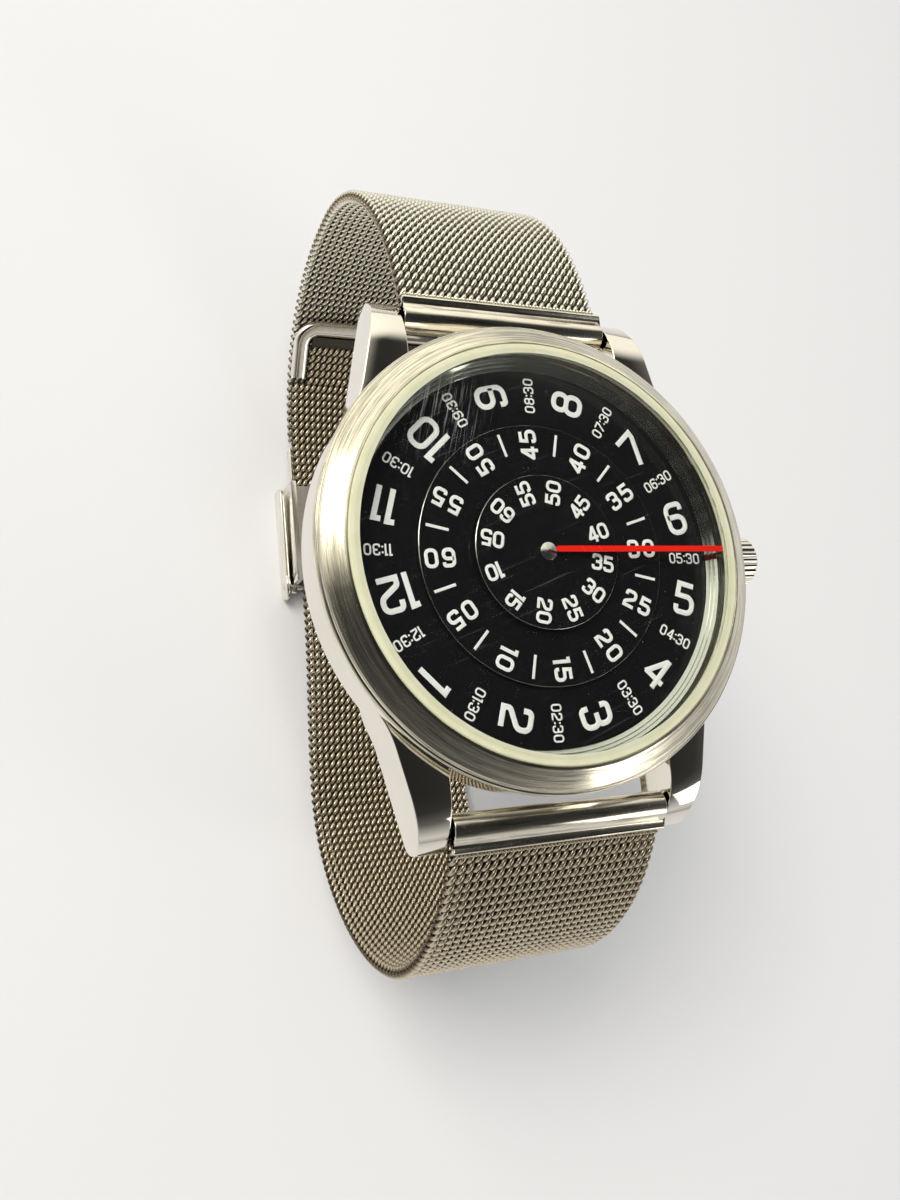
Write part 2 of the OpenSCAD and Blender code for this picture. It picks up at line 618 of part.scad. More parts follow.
// Grooved wheel that turns with the stem and lets it slide through its square bore
module clutch_wheel() color(bright_steel) translate([clutch_x, 0, stem_z]) difference() {
    rod_x(clutch_r, 0, clutch_l, 0, 0);
    difference() {
        rod_x(clutch_r + 1, 0.45, 0.95, 0, 0);
        rod_x(clutch_r - 0.13, 0, clutch_l, 0, 0);
    }
    translate([-1, -square_w / 2 - run_gap, -square_w / 2 - run_gap])
        cube([clutch_l + 2, square_w + 2 * run_gap, square_w + 2 * run_gap]);
}

module winding_stem() color(bright_steel) {
    square_end = clutch_x + clutch_l + crown_pull;
    translate([clutch_x - crown_pull - 0.4, -square_w / 2, stem_z - square_w / 2])
        cube([square_end - clutch_x + crown_pull + 0.4, square_w, square_w]);
    difference() {
        rod_x(stem_r, square_end - crown_pull + 0.15, crown_x + 0.5, 0, stem_z);
        difference() {
            rod_x(stem_r + 1, lever_x - groove_w / 2, lever_x + groove_w / 2, 0, stem_z);
            rod_x(groove_r, lever_x - 1, lever_x + 1, 0, stem_z);
        }
    }
}

// Fluted knob with a hollow for the seal
module crown() color(bright_steel) difference() {
    translate([crown_x, 0, stem_z]) rotate([0, 90, 0]) rotate_extrude() polygon([[0, 0], [crown_r - 0.2, 0],
        [crown_r, 0.25], [crown_r, crown_l - 0.35], [crown_r - 0.35, crown_l], [0, crown_l]]);
    rod_x(1.3, crown_x - 1, crown_x + 0.5, 0, stem_z);
    for (i = [0:crown_flutes - 1]) translate([crown_x - 1, 0, stem_z]) rotate([360 / crown_flutes * i, 0, 0])
        translate([0, 0, crown_r + 0.06]) rotate([0, 90, 0]) cylinder(r = 0.16, h = crown_l + 0.75, $fn = 16);
}

module crown_seal() color(black) difference() {
    rod_x(1.3 - fit_gap, crown_x + 0.05, crown_x + 0.5, 0, stem_z);
    rod_x(stem_r + fit_gap, crown_x - 1, crown_x + 1, 0, stem_z);
}

// Lever on a post of the main plate whose finger stands in the stem's groove
module setting_lever() color(steel) translate([lever_x, -lever_arm, 0]) {
    z = train_z + 0.12;
    difference() {
        union() {
            translate([0, 0, z]) cylinder(r = 0.5, h = 0.25, $fn = 32);
            translate([-0.22, 0, z]) cube([0.44, lever_arm, 0.25]);
            translate([0, lever_arm, z]) cylinder(r = 0.22, h = 0.25, $fn = 24);
        }
        translate([0, 0, z - 1]) cylinder(r = 0.25 + run_gap, h = 2, $fn = 24);
    }
    translate([0, lever_arm, z + 0.1]) cylinder(r = 0.18, h = stem_z - groove_r - 0.05 - z - 0.1, $fn = 24);
}

// Sprung bar between two lugs: barrel, shoulders and tips
module spring_bar(y) color(steel) {
    rod_x(bar_r, -lug_gap / 2 + 0.35, lug_gap / 2 - 0.35, y, bar_z);
    rod_x(bar_tip_r, -lug_gap / 2 - 1.1, lug_gap / 2 + 1.1, y, bar_z);
}
module spring_bar_12() spring_bar(bar_y);
module spring_bar_6() spring_bar(-bar_y);

// Folded sleeve round a spring bar, with a bead where it grips the strap
module sleeve(slope) color(bright_steel) translate([0, bar_y, bar_z]) rotate([-slope, 0, 0]) difference() {
    union() {
        rod_x(bar_r + run_gap + sleeve_t, -sleeve_w / 2, sleeve_w / 2, 0, 0);
        translate([-sleeve_w / 2, 0, -mesh_t / 2 - 0.3]) cube([sleeve_w, sleeve_l, mesh_t + 0.6]);
        rod_x(0.3, -sleeve_w / 2, sleeve_w / 2, sleeve_l - 0.15, mesh_t / 2 + 0.3);
    }
    rod_x(bar_r + run_gap, -lug_gap, lug_gap, 0, 0);
    translate([-mesh_w / 2 - fit_gap, pocket_at - fit_gap, -mesh_t / 2 - fit_gap])
        cube([mesh_w + 2 * fit_gap, sleeve_l, mesh_t + 2 * fit_gap]);
}
module sleeve_12() sleeve(slope_12);
module sleeve_6() mirror([0, 1, 0]) sleeve(slope_6);

module mesh_12() color(steel) across(-mesh_w / 2, mesh_w) polygon(band(path_12, mesh_t));

// Puts a piece drawn flat, with its Y axis along the strap's free end, in its place there
module at_tail() translate([0, tail_end[0], tail_end[1]]) rotate([atan2(rim_dir[1], rim_dir[0]), 0, 0]) children();

module mesh_6() color(steel) difference() {
    across(-mesh_w / 2, mesh_w) polygon(band(path_6, mesh_t));
    at_tail() for (s = [-1, 1]) translate([s * (mesh_w / 2 - rim_w / 2 - fit_gap / 2 + 0.5) - rim_w / 2 - fit_gap / 2 - 0.5,
        -rim_l - fit_gap, -2]) cube([rim_w + fit_gap + 1, rim_l + 2, 4]);
    at_tail() translate([-mesh_w, -fit_gap, -2]) cube([2 * mesh_w, 4, 4]);
}

// U-shaped steel rim round the strap's free end, with rounded corners
module strap_tip() color(bright_steel) at_tail() translate([0, 0, -mesh_t / 2]) difference() {
    r = 2.6;
    linear_extrude(mesh_t) union() {
        translate([-mesh_w / 2, -rim_l]) square([mesh_w, rim_l + rim_w - r]);
        translate([-mesh_w / 2 + r, -rim_l]) square([mesh_w - 2 * r, rim_l + rim_w]);
        for (s = [-1, 1]) translate([s * (mesh_w / 2 - r), rim_w - r]) circle(r = r);
    }
    translate([-mesh_w / 2 + rim_w, -rim_l - 1, -1]) cube([mesh_w - 2 * rim_w, rim_l + 1, mesh_t + 2]);
}

// End piece of the 12 o'clock half: a crimp, two arms and the bar that the hook holds
module hook_bracket() color(bright_steel) {
    z0 = hook_z - mesh_t / 2;
    rod_x(hook_bar_r, -mesh_w / 2, mesh_w / 2, hook_bar_y, hook_z);
    for (x = [-mesh_w / 2, mesh_w / 2 - 0.8]) across(x, 0.8) union() {
        translate([hook_bar_y, z0]) square([crimp_y - hook_bar_y + 0.1, mesh_t]);
        translate([hook_bar_y, hook_z]) circle(r = mesh_t / 2, $fn = 48);
    }
    translate([-mesh_w / 2, crimp_y, z0]) cube([mesh_w, crimp_l - fit_gap, mesh_t]);
}

// Tray that the strap runs through, with ribs under it and walls at its edges
module clasp_tray() color(steel) {
    z0 = rest_z + cover_t + clasp_gap;
    top = lock_pin_z + lock_barrel_r;
    difference() {
        union() {
            for (x = [-tray_w, tray_in_w]) across(x, tray_t) union() {
                translate([clasp_y, z0]) square([tray_l, top - z0]);
                translate([clasp_y, hinge_z]) circle(r = 0.85, $fn = 48);
            }
            translate([-tray_w, clasp_y + 0.6, z0]) cube([2 * tray_w, tray_l - 0.6, tray_t]);
        }
        rod_x(hinge_pin_r + run_gap, -flange_w, flange_w, clasp_y, hinge_z);
        rod_x(lock_pin_r + run_gap / 2, -flange_w, flange_w, lock_pin_y, lock_pin_z);
    }
    for (y = [clasp_y + 2:2.4:tray_end - 1]) translate([-tray_in_w, y, z0 + tray_t - eps])
        cube([2 * tray_in_w, 0.5, tail_z - mesh_t / 2 - z0 - tray_t]);
}

// Cover on the outside of the clasp: plate, side flanges and the hook at its free end
module clasp_cover() color(bright_steel) {
    tip_y = hook_lip_y + hook_lip_t;
    difference() {
        union() {
            translate([-flange_w - flange_t, clasp_y + 0.45, rest_z])
                cube([2 * (flange_w + flange_t), tray_l - 0.45, cover_t]);
            for (x = [-flange_w - flange_t, flange_w]) across(x, flange_t) union() {
                translate([clasp_y, rest_z]) square([tray_l - 1.2, 2.9]);
                translate([clasp_y + tray_l - 1.6, rest_z]) square([1.6, 1.7]);
                translate([clasp_y + tray_l - 1.2, rest_z + 1.7]) circle(r = 1.2);
                translate([clasp_y, hinge_z]) circle(r = hinge_z - rest_z, $fn = 64);
            }
        }
        rod_x(hinge_pin_r, -flange_w - 2, flange_w + 2, clasp_y, hinge_z);
    }
    translate([-4, tray_end - eps, rest_z]) cube([8, tip_y - tray_end + eps, cover_t]);
    translate([-4, hook_lip_y, rest_z]) cube([8, hook_lip_t, hook_z + mesh_t / 2 - 0.2 - rest_z]);
}

module cover_pin() color(bright_steel)
    rod_x(hinge_pin_r, -flange_w - flange_t, flange_w + flange_t, clasp_y, hinge_z);

// Plate on the wrist side that presses on the strap and holds the clasp in place
module lock_plate() color(bright_steel) {
    w = tray_in_w - 0.1;
    difference() {
        union() {
            rod_x(lock_barrel_r, -w, w, lock_pin_y, lock_pin_z);
            translate([-w, lock_pin_y, lock_pin_z - lock_barrel_r]) cube([2 * w, tray_end - 0.4 - lock_pin_y, lock_t]);
        }
        rod_x(lock_pin_r + run_gap, -w - 1, w + 1, lock_pin_y, lock_pin_z);
    }
}

module lock_pin() color(steel) rod_x(lock_pin_r, -tray_w, tray_w, lock_pin_y, lock_pin_z);

case_middle();
bezel();
crystal();
crystal_gasket();
rehaut_ring();
pointer();
case_back();
case_back_gasket();
crown_tube();
movement_holder();
dial_plate();
main_plate();
train_bridge();
bridge_screws();
circuit_board();
quartz_can();
coil();
stator();
battery();
battery_clip();
hour_disc();
hour_wheel();
minute_disc();
minute_wheel();
second_disc();
hub_cap();
second_wheel();
third_wheel();
fifth_wheel();
rotor();
minute_work_wheel();
clutch_wheel();
winding_stem();
crown();
crown_seal();
setting_lever();
spring_bar_12();
spring_bar_6();
sleeve_12();
sleeve_6();
mesh_12();
mesh_6();
strap_tip();
hook_bracket();
clasp_tray();
clasp_cover();
cover_pin();
lock_plate();
lock_pin();
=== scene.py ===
"""Wristwatch with three turning discs on a woven steel strap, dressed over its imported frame.

Lengths are in millimetres until a mesh is made, in the frame of the solids: the origin is the centre of
the case back's outer face, +Z goes up through the dial, +X to the crown and +Y to 12 o'clock.
"""

import logging
from dataclasses import dataclass, field
from enum import Enum
from typing import Callable, Optional, Sequence, Union

import bmesh
import bpy
import numpy as np
from mathutils import Matrix, Vector

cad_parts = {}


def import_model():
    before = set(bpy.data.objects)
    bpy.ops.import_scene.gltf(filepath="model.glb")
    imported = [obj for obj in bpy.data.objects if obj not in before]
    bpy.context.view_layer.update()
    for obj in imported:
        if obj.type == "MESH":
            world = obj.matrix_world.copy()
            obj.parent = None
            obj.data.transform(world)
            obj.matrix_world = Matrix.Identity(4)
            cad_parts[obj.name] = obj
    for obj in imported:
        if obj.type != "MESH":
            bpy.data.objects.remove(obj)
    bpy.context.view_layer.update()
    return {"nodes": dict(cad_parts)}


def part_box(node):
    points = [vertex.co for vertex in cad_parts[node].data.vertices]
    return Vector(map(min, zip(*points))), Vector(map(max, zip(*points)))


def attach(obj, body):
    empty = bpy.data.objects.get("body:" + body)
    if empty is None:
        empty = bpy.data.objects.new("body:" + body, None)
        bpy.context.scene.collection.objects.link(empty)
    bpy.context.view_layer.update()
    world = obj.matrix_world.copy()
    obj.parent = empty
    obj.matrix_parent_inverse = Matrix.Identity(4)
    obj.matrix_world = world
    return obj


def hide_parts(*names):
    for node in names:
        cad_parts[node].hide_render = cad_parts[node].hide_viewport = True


MM = 0.001
BEZEL_R = 19.8
WIRE_SIDES = 6
# Least length that a vector is divided by, and what keeps a radius over zero on the axis
SMALL, OFF_AXIS = 1e-9, 0.001
# Share of a side that an arc takes at most, and half the angle from which a corner counts as straight
MOST, STRAIGHT = 0.48, 0.49 * np.pi
# Solids are welded within this distance in metres; flatter edges vanish and sharper ones are eased, in degrees
WELD, FLAT, SHARP = 1e-7, 1.0, 28.0
Array = np.ndarray
Socket = bpy.types.NodeSocket
Colour = tuple[float, float, float]
Rows = Sequence[Sequence[float]]
log = logging.getLogger("disc_watch")


# Surfaces


@dataclass
class Surface:
    """Points in millimetres with the four-sided and three-sided faces between them.

    Args:
        points: Array of shape (n, 3).
        quads: Array of shape (m, 4) of point numbers.
        tris: Array of shape (k, 3) of point numbers.
        shade: One number for each point, 0 deep inside and 1 on the outside, or None.
    """

    points: Array
    quads: Array
    tris: Array = field(default_factory=lambda: np.zeros((0, 3), dtype=int))
    shade: Optional[Array] = None

    def volume(self) -> float:
        """Add up the tetrahedra from the origin to each triangle.

        Returns:
            The signed volume.
        """
        halves = np.concatenate([self.tris, self.quads[:, [0, 1, 2]], self.quads[:, [0, 2, 3]]])
        a, b, c = (self.points[halves[:, i]] for i in range(3))
        return float(np.einsum("ij,ij->i", a, np.cross(b, c)).sum() / 6.0)

    def outward(self) -> "Surface":
        """Turn the faces so that the volume is positive.

        Returns:
            The surface itself, or a turned one.
        """
        if self.volume() < 0.0:
            return Surface(self.points, self.quads[:, ::-1], self.tris[:, ::-1], self.shade)
        return self

    def placed(self, turn: Array, offset: Sequence[float] = (0.0, 0.0, 0.0)) -> "Surface":
        """Return the surface turned by a 3 by 3 matrix and then moved."""
        return Surface(self.points @ turn.T + np.asarray(offset), self.quads, self.tris, self.shade)

    @staticmethod
    def joined(parts: Sequence["Surface"]) -> "Surface":
        """Put several surfaces into one, each with its own points.

        Args:
            parts: The surfaces.

        Returns:
            One surface that holds them all.
        """
        starts = np.cumsum([0] + [len(p.points) for p in parts[:-1]])
        shaded = all(p.shade is not None for p in parts)
        return Surface(np.concatenate([p.points for p in parts]),
                       np.concatenate([p.quads + s for p, s in zip(parts, starts)]),
                       np.concatenate([p.tris + s for p, s in zip(parts, starts)]),
                       np.concatenate([p.shade for p in parts]) if shaded else None)


def unit(vectors: Array) -> Array:
    """Return the vectors along the last axis, divided by their lengths."""
    return vectors / np.maximum(np.linalg.norm(vectors, axis=-1, keepdims=True), SMALL)


def turn_z(degrees: float) -> Array:
    """Return the 3 by 3 matrix that turns points about the Z axis."""
    c, s = np.cos(np.radians(degrees)), np.sin(np.radians(degrees))
    return np.array([[c, -s, 0.0], [s, c, 0.0], [0.0, 0.0, 1.0]])


def grid_quads(rows: int, cols: int, closed: bool = False) -> Array:
    """Number the quads between rings of points, counted ring by ring.

    Args:
        rows: Number of rings.
        cols: Number of points in a ring.
        closed: The last ring is joined to the first.

    Returns:
        Array of shape (m, 4): the corners of each cell in turn.
    """
    i = np.arange(rows if closed else rows - 1)[:, None]
    j = np.arange(cols)[None, :]
    i2, j2 = (i + 1) % rows, (j + 1) % cols
    corners = [i * cols + j, i2 * cols + j, i2 * cols + j2, i * cols + j2]
    return np.stack([np.broadcast_to(c, (i.size, j.size)).ravel() for c in corners], axis=-1)


def wire_quads(rows: int) -> Array:
    """Number the quads of a thin wire: its rings, and two quads across each end.

    Args:
        rows: Number of rings, each of WIRE_SIDES points.

    Returns:
        Array of shape (m, 4).
    """
    start = np.array([[0, 1, 2, 3], [0, 3, 4, 5]])
    return np.concatenate([grid_quads(rows, WIRE_SIDES), start, start[:, ::-1] + (rows - 1) * WIRE_SIDES])


def fans(rows: int, cols: int, centre: int) -> Array:
    """Number the triangles from two centre points to the first and the last ring.

    Args:
        rows: Number of rings.
        cols: Number of points in a ring.
        centre: Number of the first ring's centre point; that of the last ring is the next one.

    Returns:
        Array of shape (2 cols, 3).
    """
    j, end = np.arange(cols), (rows - 1) * cols
    j2 = (j + 1) % cols
    return np.concatenate([np.stack([np.full(cols, centre), j, j2], axis=-1),
                           np.stack([np.full(cols, centre + 1), end + j2, end + j], axis=-1)])


def flat_ends(rows: int, width: int) -> tuple[Array, Array]:
    """Number the faces that close the first and the last ring by strips between opposite points.

    Args:
        rows: Number of rings.
        width: Number of points in a ring.

    Returns:
        The quads, and the one triangle at each end that an odd width leaves.
    """
    middle, end = width // 2, (rows - 1) * width
    k = np.arange(middle - 1)
    strip = np.stack([k, k + 1, width - 2 - k, width - 1 - k], axis=-1)
    odd = np.array([[middle - 1, middle, middle + 1]])[:width % 2]
    return np.concatenate([strip, strip[:, ::-1] + end]), np.concatenate([odd, odd[:, ::-1] + end])


def rounded(corners: Rows, closed: bool = True, steps: int = 4) -> Array:
    """Draw an outline whose corners are arcs.

    Each corner is replaced by the exact arc that touches both its sides, written as a rational curve of the
    second degree whose middle weight is the cosine of half the turn.

    Args:
        corners: Two coordinates and a radius for each corner.
        closed: The last corner is joined to the first.
        steps: Number of spans in an arc.

    Returns:
        Array of shape (n, 2).
    """
    table = np.asarray(corners, dtype=float)
    points, radii, count = table[:, :2], table[:, 2], len(table)
    share = np.linspace(0.0, 1.0, steps + 1)[:, None]
    pieces = []
    for i, corner in enumerate(points):
        pieces.append(corner[None, :])
        if radii[i] <= 0.0 or (not closed and i in (0, count - 1)):
            continue
        back, on = points[i - 1] - corner, points[(i + 1) % count] - corner
        back_l, on_l = np.linalg.norm(back), np.linalg.norm(on)
        back, on = back / back_l, on / on_l
        half = 0.5 * np.arccos(np.clip(back @ on, -1.0, 1.0))
        if half > STRAIGHT:
            continue
        reach = min(radii[i] / np.tan(half), MOST * back_l, MOST * on_l)
        b0, b1, b2 = (1 - share) ** 2, 2 * share * (1 - share) * np.sin(half), share ** 2
        arc = b0 * (corner + reach * back) + b1 * corner + b2 * (corner + reach * on)
        pieces[-1] = arc / (b0 + b1 + b2)
    return np.concatenate(pieces)


def lofted(rows: Array, closed: bool = False) -> Surface:
    """Join rings of points; open ends are closed by fans to their mean points.

    Args:
        rows: Array of shape (n, m, 3).
        closed: The last ring is joined to the first.

    Returns:
        The closed surface, faces outward.
    """
    count, width = rows.shape[:2]
    points, quads = rows.reshape(-1, 3), grid_quads(count, width, closed)
    if closed:
        return Surface(points, quads).outward()
    centres = np.stack([rows[0].mean(axis=0), rows[-1].mean(axis=0)])
    return Surface(np.concatenate([points, centres]), quads, fans(count, width, len(points))).outward()


def revolve(profile: Array, steps: int) -> Surface:
    """Sweep a profile round the Z axis: point (r, z) goes to (r cos a, r sin a, z).

    Args:
        profile: Outline of shape (n, 2). It is closed, or starts and ends on the axis, where it gets a pole.
        steps: Number of spans round the axis.

    Returns:
        The closed surface, faces outward.
    """
    off_axis = profile[:, 0] > 1e-6
    ring = profile[off_axis]
    angle = np.linspace(0.0, 2 * np.pi, steps, endpoint=False)[None, :]
    radius, height = ring[:, :1], np.broadcast_to(ring[:, 1:], (len(ring), steps))
    points = np.stack([radius * np.cos(angle), radius * np.sin(angle), height], axis=-1).reshape(-1, 3)
    if off_axis.all():
        return Surface(points, grid_quads(len(ring), steps, True)).outward()
    poles = np.array([[0.0, 0.0, profile[0, 1]], [0.0, 0.0, profile[-1, 1]]])
    return Surface(np.concatenate([points, poles]), grid_quads(len(ring), steps),
                   fans(len(ring), steps, len(points))).outward()


def sweep(path: Array, side: Array, section: Array, closed: bool = False) -> Surface:
    """Carry an upright section along a path: path point + u times side + v times Z.

    Args:
        path: Points of shape (n, 3).
        side: Direction of the section's first axis at each point, of shape (n, 3).
        section: Closed outline of shape (m, 2).
        closed: The path's end meets its start.

    Returns:
        The closed surface, faces outward.
    """
    up = np.array([0.0, 0.0, 1.0])
    return lofted(path[:, None] + section[None, :, :1] * side[:, None] + section[None, :, 1:] * up, closed)


def extrude_x(outline: Array, half: float, edge: float, steps: int = 3) -> Surface:
    """Carry an outline in Y and Z from -half to +half along X, with rounded end edges.

    Near each end the outline shrinks by edge (1 - cos q) while x grows by edge sin q, q from 0 to 90 degrees.

    Args:
        outline: Closed outline of shape (n, 2).
        half: Half the length in X.
        edge: Radius of the end edges.
        steps: Number of spans in an end edge.

    Returns:
        The closed surface; its ends are strips between opposite points of the outline.
    """
    q = np.linspace(0.0, np.pi / 2, steps + 1)
    shrink = np.concatenate([(1 - np.cos(q))[::-1], 1 - np.cos(q)]) * edge
    x = np.concatenate([-half + edge * (1 - np.sin(q[::-1])), half - edge * (1 - np.sin(q))])
    before, after = np.roll(outline, 1, axis=0), np.roll(outline, -1, axis=0)
    along = unit(after - before)
    area = np.sum(outline[:, 0] * after[:, 1] - outline[:, 1] * after[:, 0])
    normal = np.stack([along[:, 1], -along[:, 0]], axis=-1) * np.sign(area)
    rows = outline[None] - shrink[:, None, None] * normal[None]
    count, width = len(x), len(outline)
    points = np.concatenate([np.broadcast_to(x[:, None, None], (count, width, 1)), rows], axis=-1)
    strips, tris = flat_ends(count, width)
    return Surface(points.reshape(-1, 3), np.concatenate([grid_quads(count, width), strips]), tris).outward()


# Shader expressions


def both_ways(operation: str) -> tuple[Callable, Callable]:
    """Make the operators that stand for one Math node.

    Args:
        operation: The node's operation.

    Returns:
        The operator for self and other, and the one for other and self.
    """

    def forward(self: "Value", other: "Number") -> "Value":
        """Return the operation on self and other."""
        return self.math(operation, self, other)

    def swapped(self: "Value", other: "Number") -> "Value":
        """Return the operation on other and self."""
        return self.math(operation, other, self)

    return forward, swapped


class Value:
    """A number that varies over a surface, so that node maths reads as a sum."""

    def __init__(self, tree: "Tree", socket: Socket) -> None:
        """Keep the tree that owns the socket and the socket itself."""
        self.tree = tree
        self.socket = socket

    def math(self, operation: str, *terms: "Number") -> "Value":
        """Return the result of one Math node on the terms."""
        node = self.tree.add("ShaderNodeMath", {"operation": operation}, dict(enumerate(terms)))
        return Value(self.tree, node.outputs[0])

    __add__, __radd__ = both_ways("ADD")
    __sub__, __rsub__ = both_ways("SUBTRACT")
    __mul__, __rmul__ = both_ways("MULTIPLY")
    __truediv__, __rtruediv__ = both_ways("DIVIDE")
    __pow__ = both_ways("POWER")[0]

    def of(self, operation: str) -> "Value":
        """Return a Math node's function of self alone."""
        return self.math(operation, self)

    def step(self, low: float, high: float) -> "Value":
        """Return a smooth step from 0 at low to 1 at high."""
        inputs = {"Value": self, "From Min": low, "From Max": high, "To Min": 0.0, "To Max": 1.0}
        return Value(self.tree, self.tree.add("ShaderNodeMapRange", {"interpolation_type": "SMOOTHSTEP"},
                                              inputs).outputs["Result"])


Number = Union[Value, float]
Input = Union[Value, Socket, float, Sequence[float]]


class Tree:
    """Node tree of a material or of the world, with the node groups that they share."""

    def __init__(self, owner: Union[bpy.types.Material, bpy.types.World]) -> None:
        """Empty the owner's tree."""
        owner.use_nodes = True
        self.owner, self.tree = owner, owner.node_tree
        self.tree.nodes.clear()

    def add(self, kind: str, settings: Optional[dict] = None, inputs: Optional[dict] = None) -> bpy.types.Node:
        """Add a node.

        Args:
            kind: The node's type.
            settings: Properties that are set before the inputs. "stops" fills a colour ramp.
            inputs: Value, socket or constant for each input, by name or number.

        Returns:
            The new node.
        """
        node = self.tree.nodes.new(kind)
        settings = dict(settings or {})
        for number, (place, colour) in enumerate(settings.pop("stops", [])):
            elements = node.color_ramp.elements
            element = elements[number] if number < len(elements) else elements.new(1.0)
            element.position = place
            element.color = (*colour, 1.0)
        for key, value in settings.items():
            setattr(node, key, value)
        for key, value in (inputs or {}).items():
            value = value.socket if isinstance(value, Value) else value
            if isinstance(value, Socket):
                self.tree.links.new(value, node.inputs[key])
            elif node.inputs[key].type == "RGBA":
                node.inputs[key].default_value = (*value, 1.0)
            else:
                node.inputs[key].default_value = value
        return node

    def parts(self, vector: Socket) -> tuple[Value, Value, Value]:
        """Return the three numbers of a vector."""
        node = self.add("ShaderNodeSeparateXYZ", None, {0: vector})
        return tuple(Value(self, out) for out in node.outputs)

    def mix(self, factor: Number, a: Input, b: Input) -> Socket:
        """Return colour a where factor is 0 and colour b where it is 1."""
        return self.add("ShaderNodeMix", {"data_type": "RGBA"}, {0: factor, 6: a, 7: b}).outputs[2]

    def blend(self, factor: Number, a: bpy.types.Node, b: bpy.types.Node) -> bpy.types.Node:
        """Return the mix of two shader nodes: a where factor is 0 and b where it is 1."""
        return self.add("ShaderNodeMixShader", None, {0: factor, 1: a.outputs[0], 2: b.outputs[0]})


class Shader(Tree):
    """Node tree of one material, with the few node groups that every finish uses."""

    def __init__(self, name: str) -> None:
        """Make an empty material of the given name."""
        super().__init__(bpy.data.materials.new(name))

    def place(self) -> Socket:
        """Return the point on the surface in millimetres."""
        where = self.add("ShaderNodeTexCoord").outputs["Object"]
        return self.add("ShaderNodeVectorMath", {"operation": "SCALE"}, {0: where, "Scale": 1 / MM}).outputs[0]

    def noise(self, vector: Socket, scale: float, detail: float = 2.0) -> Value:
        """Return cloudy noise between 0 and 1, scale cells to the millimetre."""
        node = self.add("ShaderNodeTexNoise", {"noise_dimensions": "3D"},
                        {"Vector": vector, "Scale": scale, "Detail": detail})
        return Value(self, node.outputs[0])

    def drawn(self, x: Number, y: Number, z: Number, detail: float = 2.0) -> Value:
        """Return noise of a point given by three numbers of cells."""
        return self.noise(self.add("ShaderNodeCombineXYZ", None, {0: x, 1: y, 2: z}).outputs[0], 1.0, detail)

    def stretched(self, vector: Socket, angle: float, across: float, along: float) -> Value:
        """Draw noise out along a direction in the dial's plane.

        Args:
            vector: Point in millimetres.
            angle: Direction of the streaks from +X, in degrees.
            across: Cells to the millimetre across the streaks.
            along: Cells to the millimetre along them.

        Returns:
            The noise, between 0 and 1.
        """
        x, y, z = self.parts(vector)
        c, s = float(np.cos(np.radians(angle))), float(np.sin(np.radians(angle)))
        return self.drawn((x * c + y * s) * along, (y * c - x * s) * across, z * across)

    def radius(self, vector: Socket, x0: float = 0.0, y0: float = 0.0) -> Value:
        """Return the distance from an upright axis through x0 and y0."""
        x, y, _ = self.parts(vector)
        x, y = x - x0, y - y0
        return (x * x + y * y) ** 0.5

    def ringed(self, vector: Socket, around: float, across: float, tilt: float, detail: float) -> Value:
        """Draw noise out along circles about the Z axis.

        Args:
            vector: Point in millimetres.
            around: Cells to the radian round a circle.
            across: Cells to the millimetre from circle to circle.
            tilt: Share of the height that counts with the radius.
            detail: Octaves of the noise.

        Returns:
            The noise, between 0 and 1.
        """
        x, y, z = self.parts(vector)
        radius = self.radius(vector) + OFF_AXIS
        return self.drawn(x / radius * around, y / radius * around, (radius + z * tilt) * across, detail)

    def bump(self, height: Value, microns: float, under: Optional[Socket] = None) -> Socket:
        """Return a normal tilted by a height between 0 and 1 that stands for so many microns."""
        inputs = {"Height": height, "Distance": microns * 1e-6, "Strength": 1.0}
        if under is not None:
            inputs["Normal"] = under
        return self.add("ShaderNodeBump", None, inputs).outputs[0]

    def principled(self, **inputs: Input) -> bpy.types.Node:
        """Return a Principled shader; base_color=... sets "Base Color" and so on."""
        names = {key.replace("_", " ").title().replace("Ior", "IOR"): value for key, value in inputs.items()}
        return self.add("ShaderNodeBsdfPrincipled", None, names)

    def surface(self, shader: Optional[bpy.types.Node] = None, **inputs: Input) -> bpy.types.Material:
        """Close the tree with a shader, or a Principled shader of these inputs, and return the material."""
        shader = shader or self.principled(**inputs)
        self.add("ShaderNodeOutputMaterial", None, {"Surface": shader.outputs[0]})
        return self.owner


# Finishes


class Grain(Enum):
    """How a metal's surface is worked."""

    MIRROR = "mirror"
    CIRCULAR = "circular"
    LENGTHWISE = "lengthwise"
    CROSSWISE = "crosswise"
    FINE = "fine"


@dataclass(frozen=True)
class Coating:
    """What every finish has.

    Args:
        name: Name of the material.
        colour: Its main colour.
    """

    name: str
    colour: Colour

    def times(self, share: float) -> Colour:
        """Return the main colour times a share."""
        return tuple(c * share for c in self.colour)

    def material(self) -> bpy.types.Material:
        """Return the material: a new shader with this finish's own look."""
        shader = Shader(self.name)
        return self.look(shader, shader.place())

    def look(self, shader: Shader, place: Socket) -> bpy.types.Material:
        """Return the shader's material once its tree is filled from the place in millimetres."""
        raise NotImplementedError


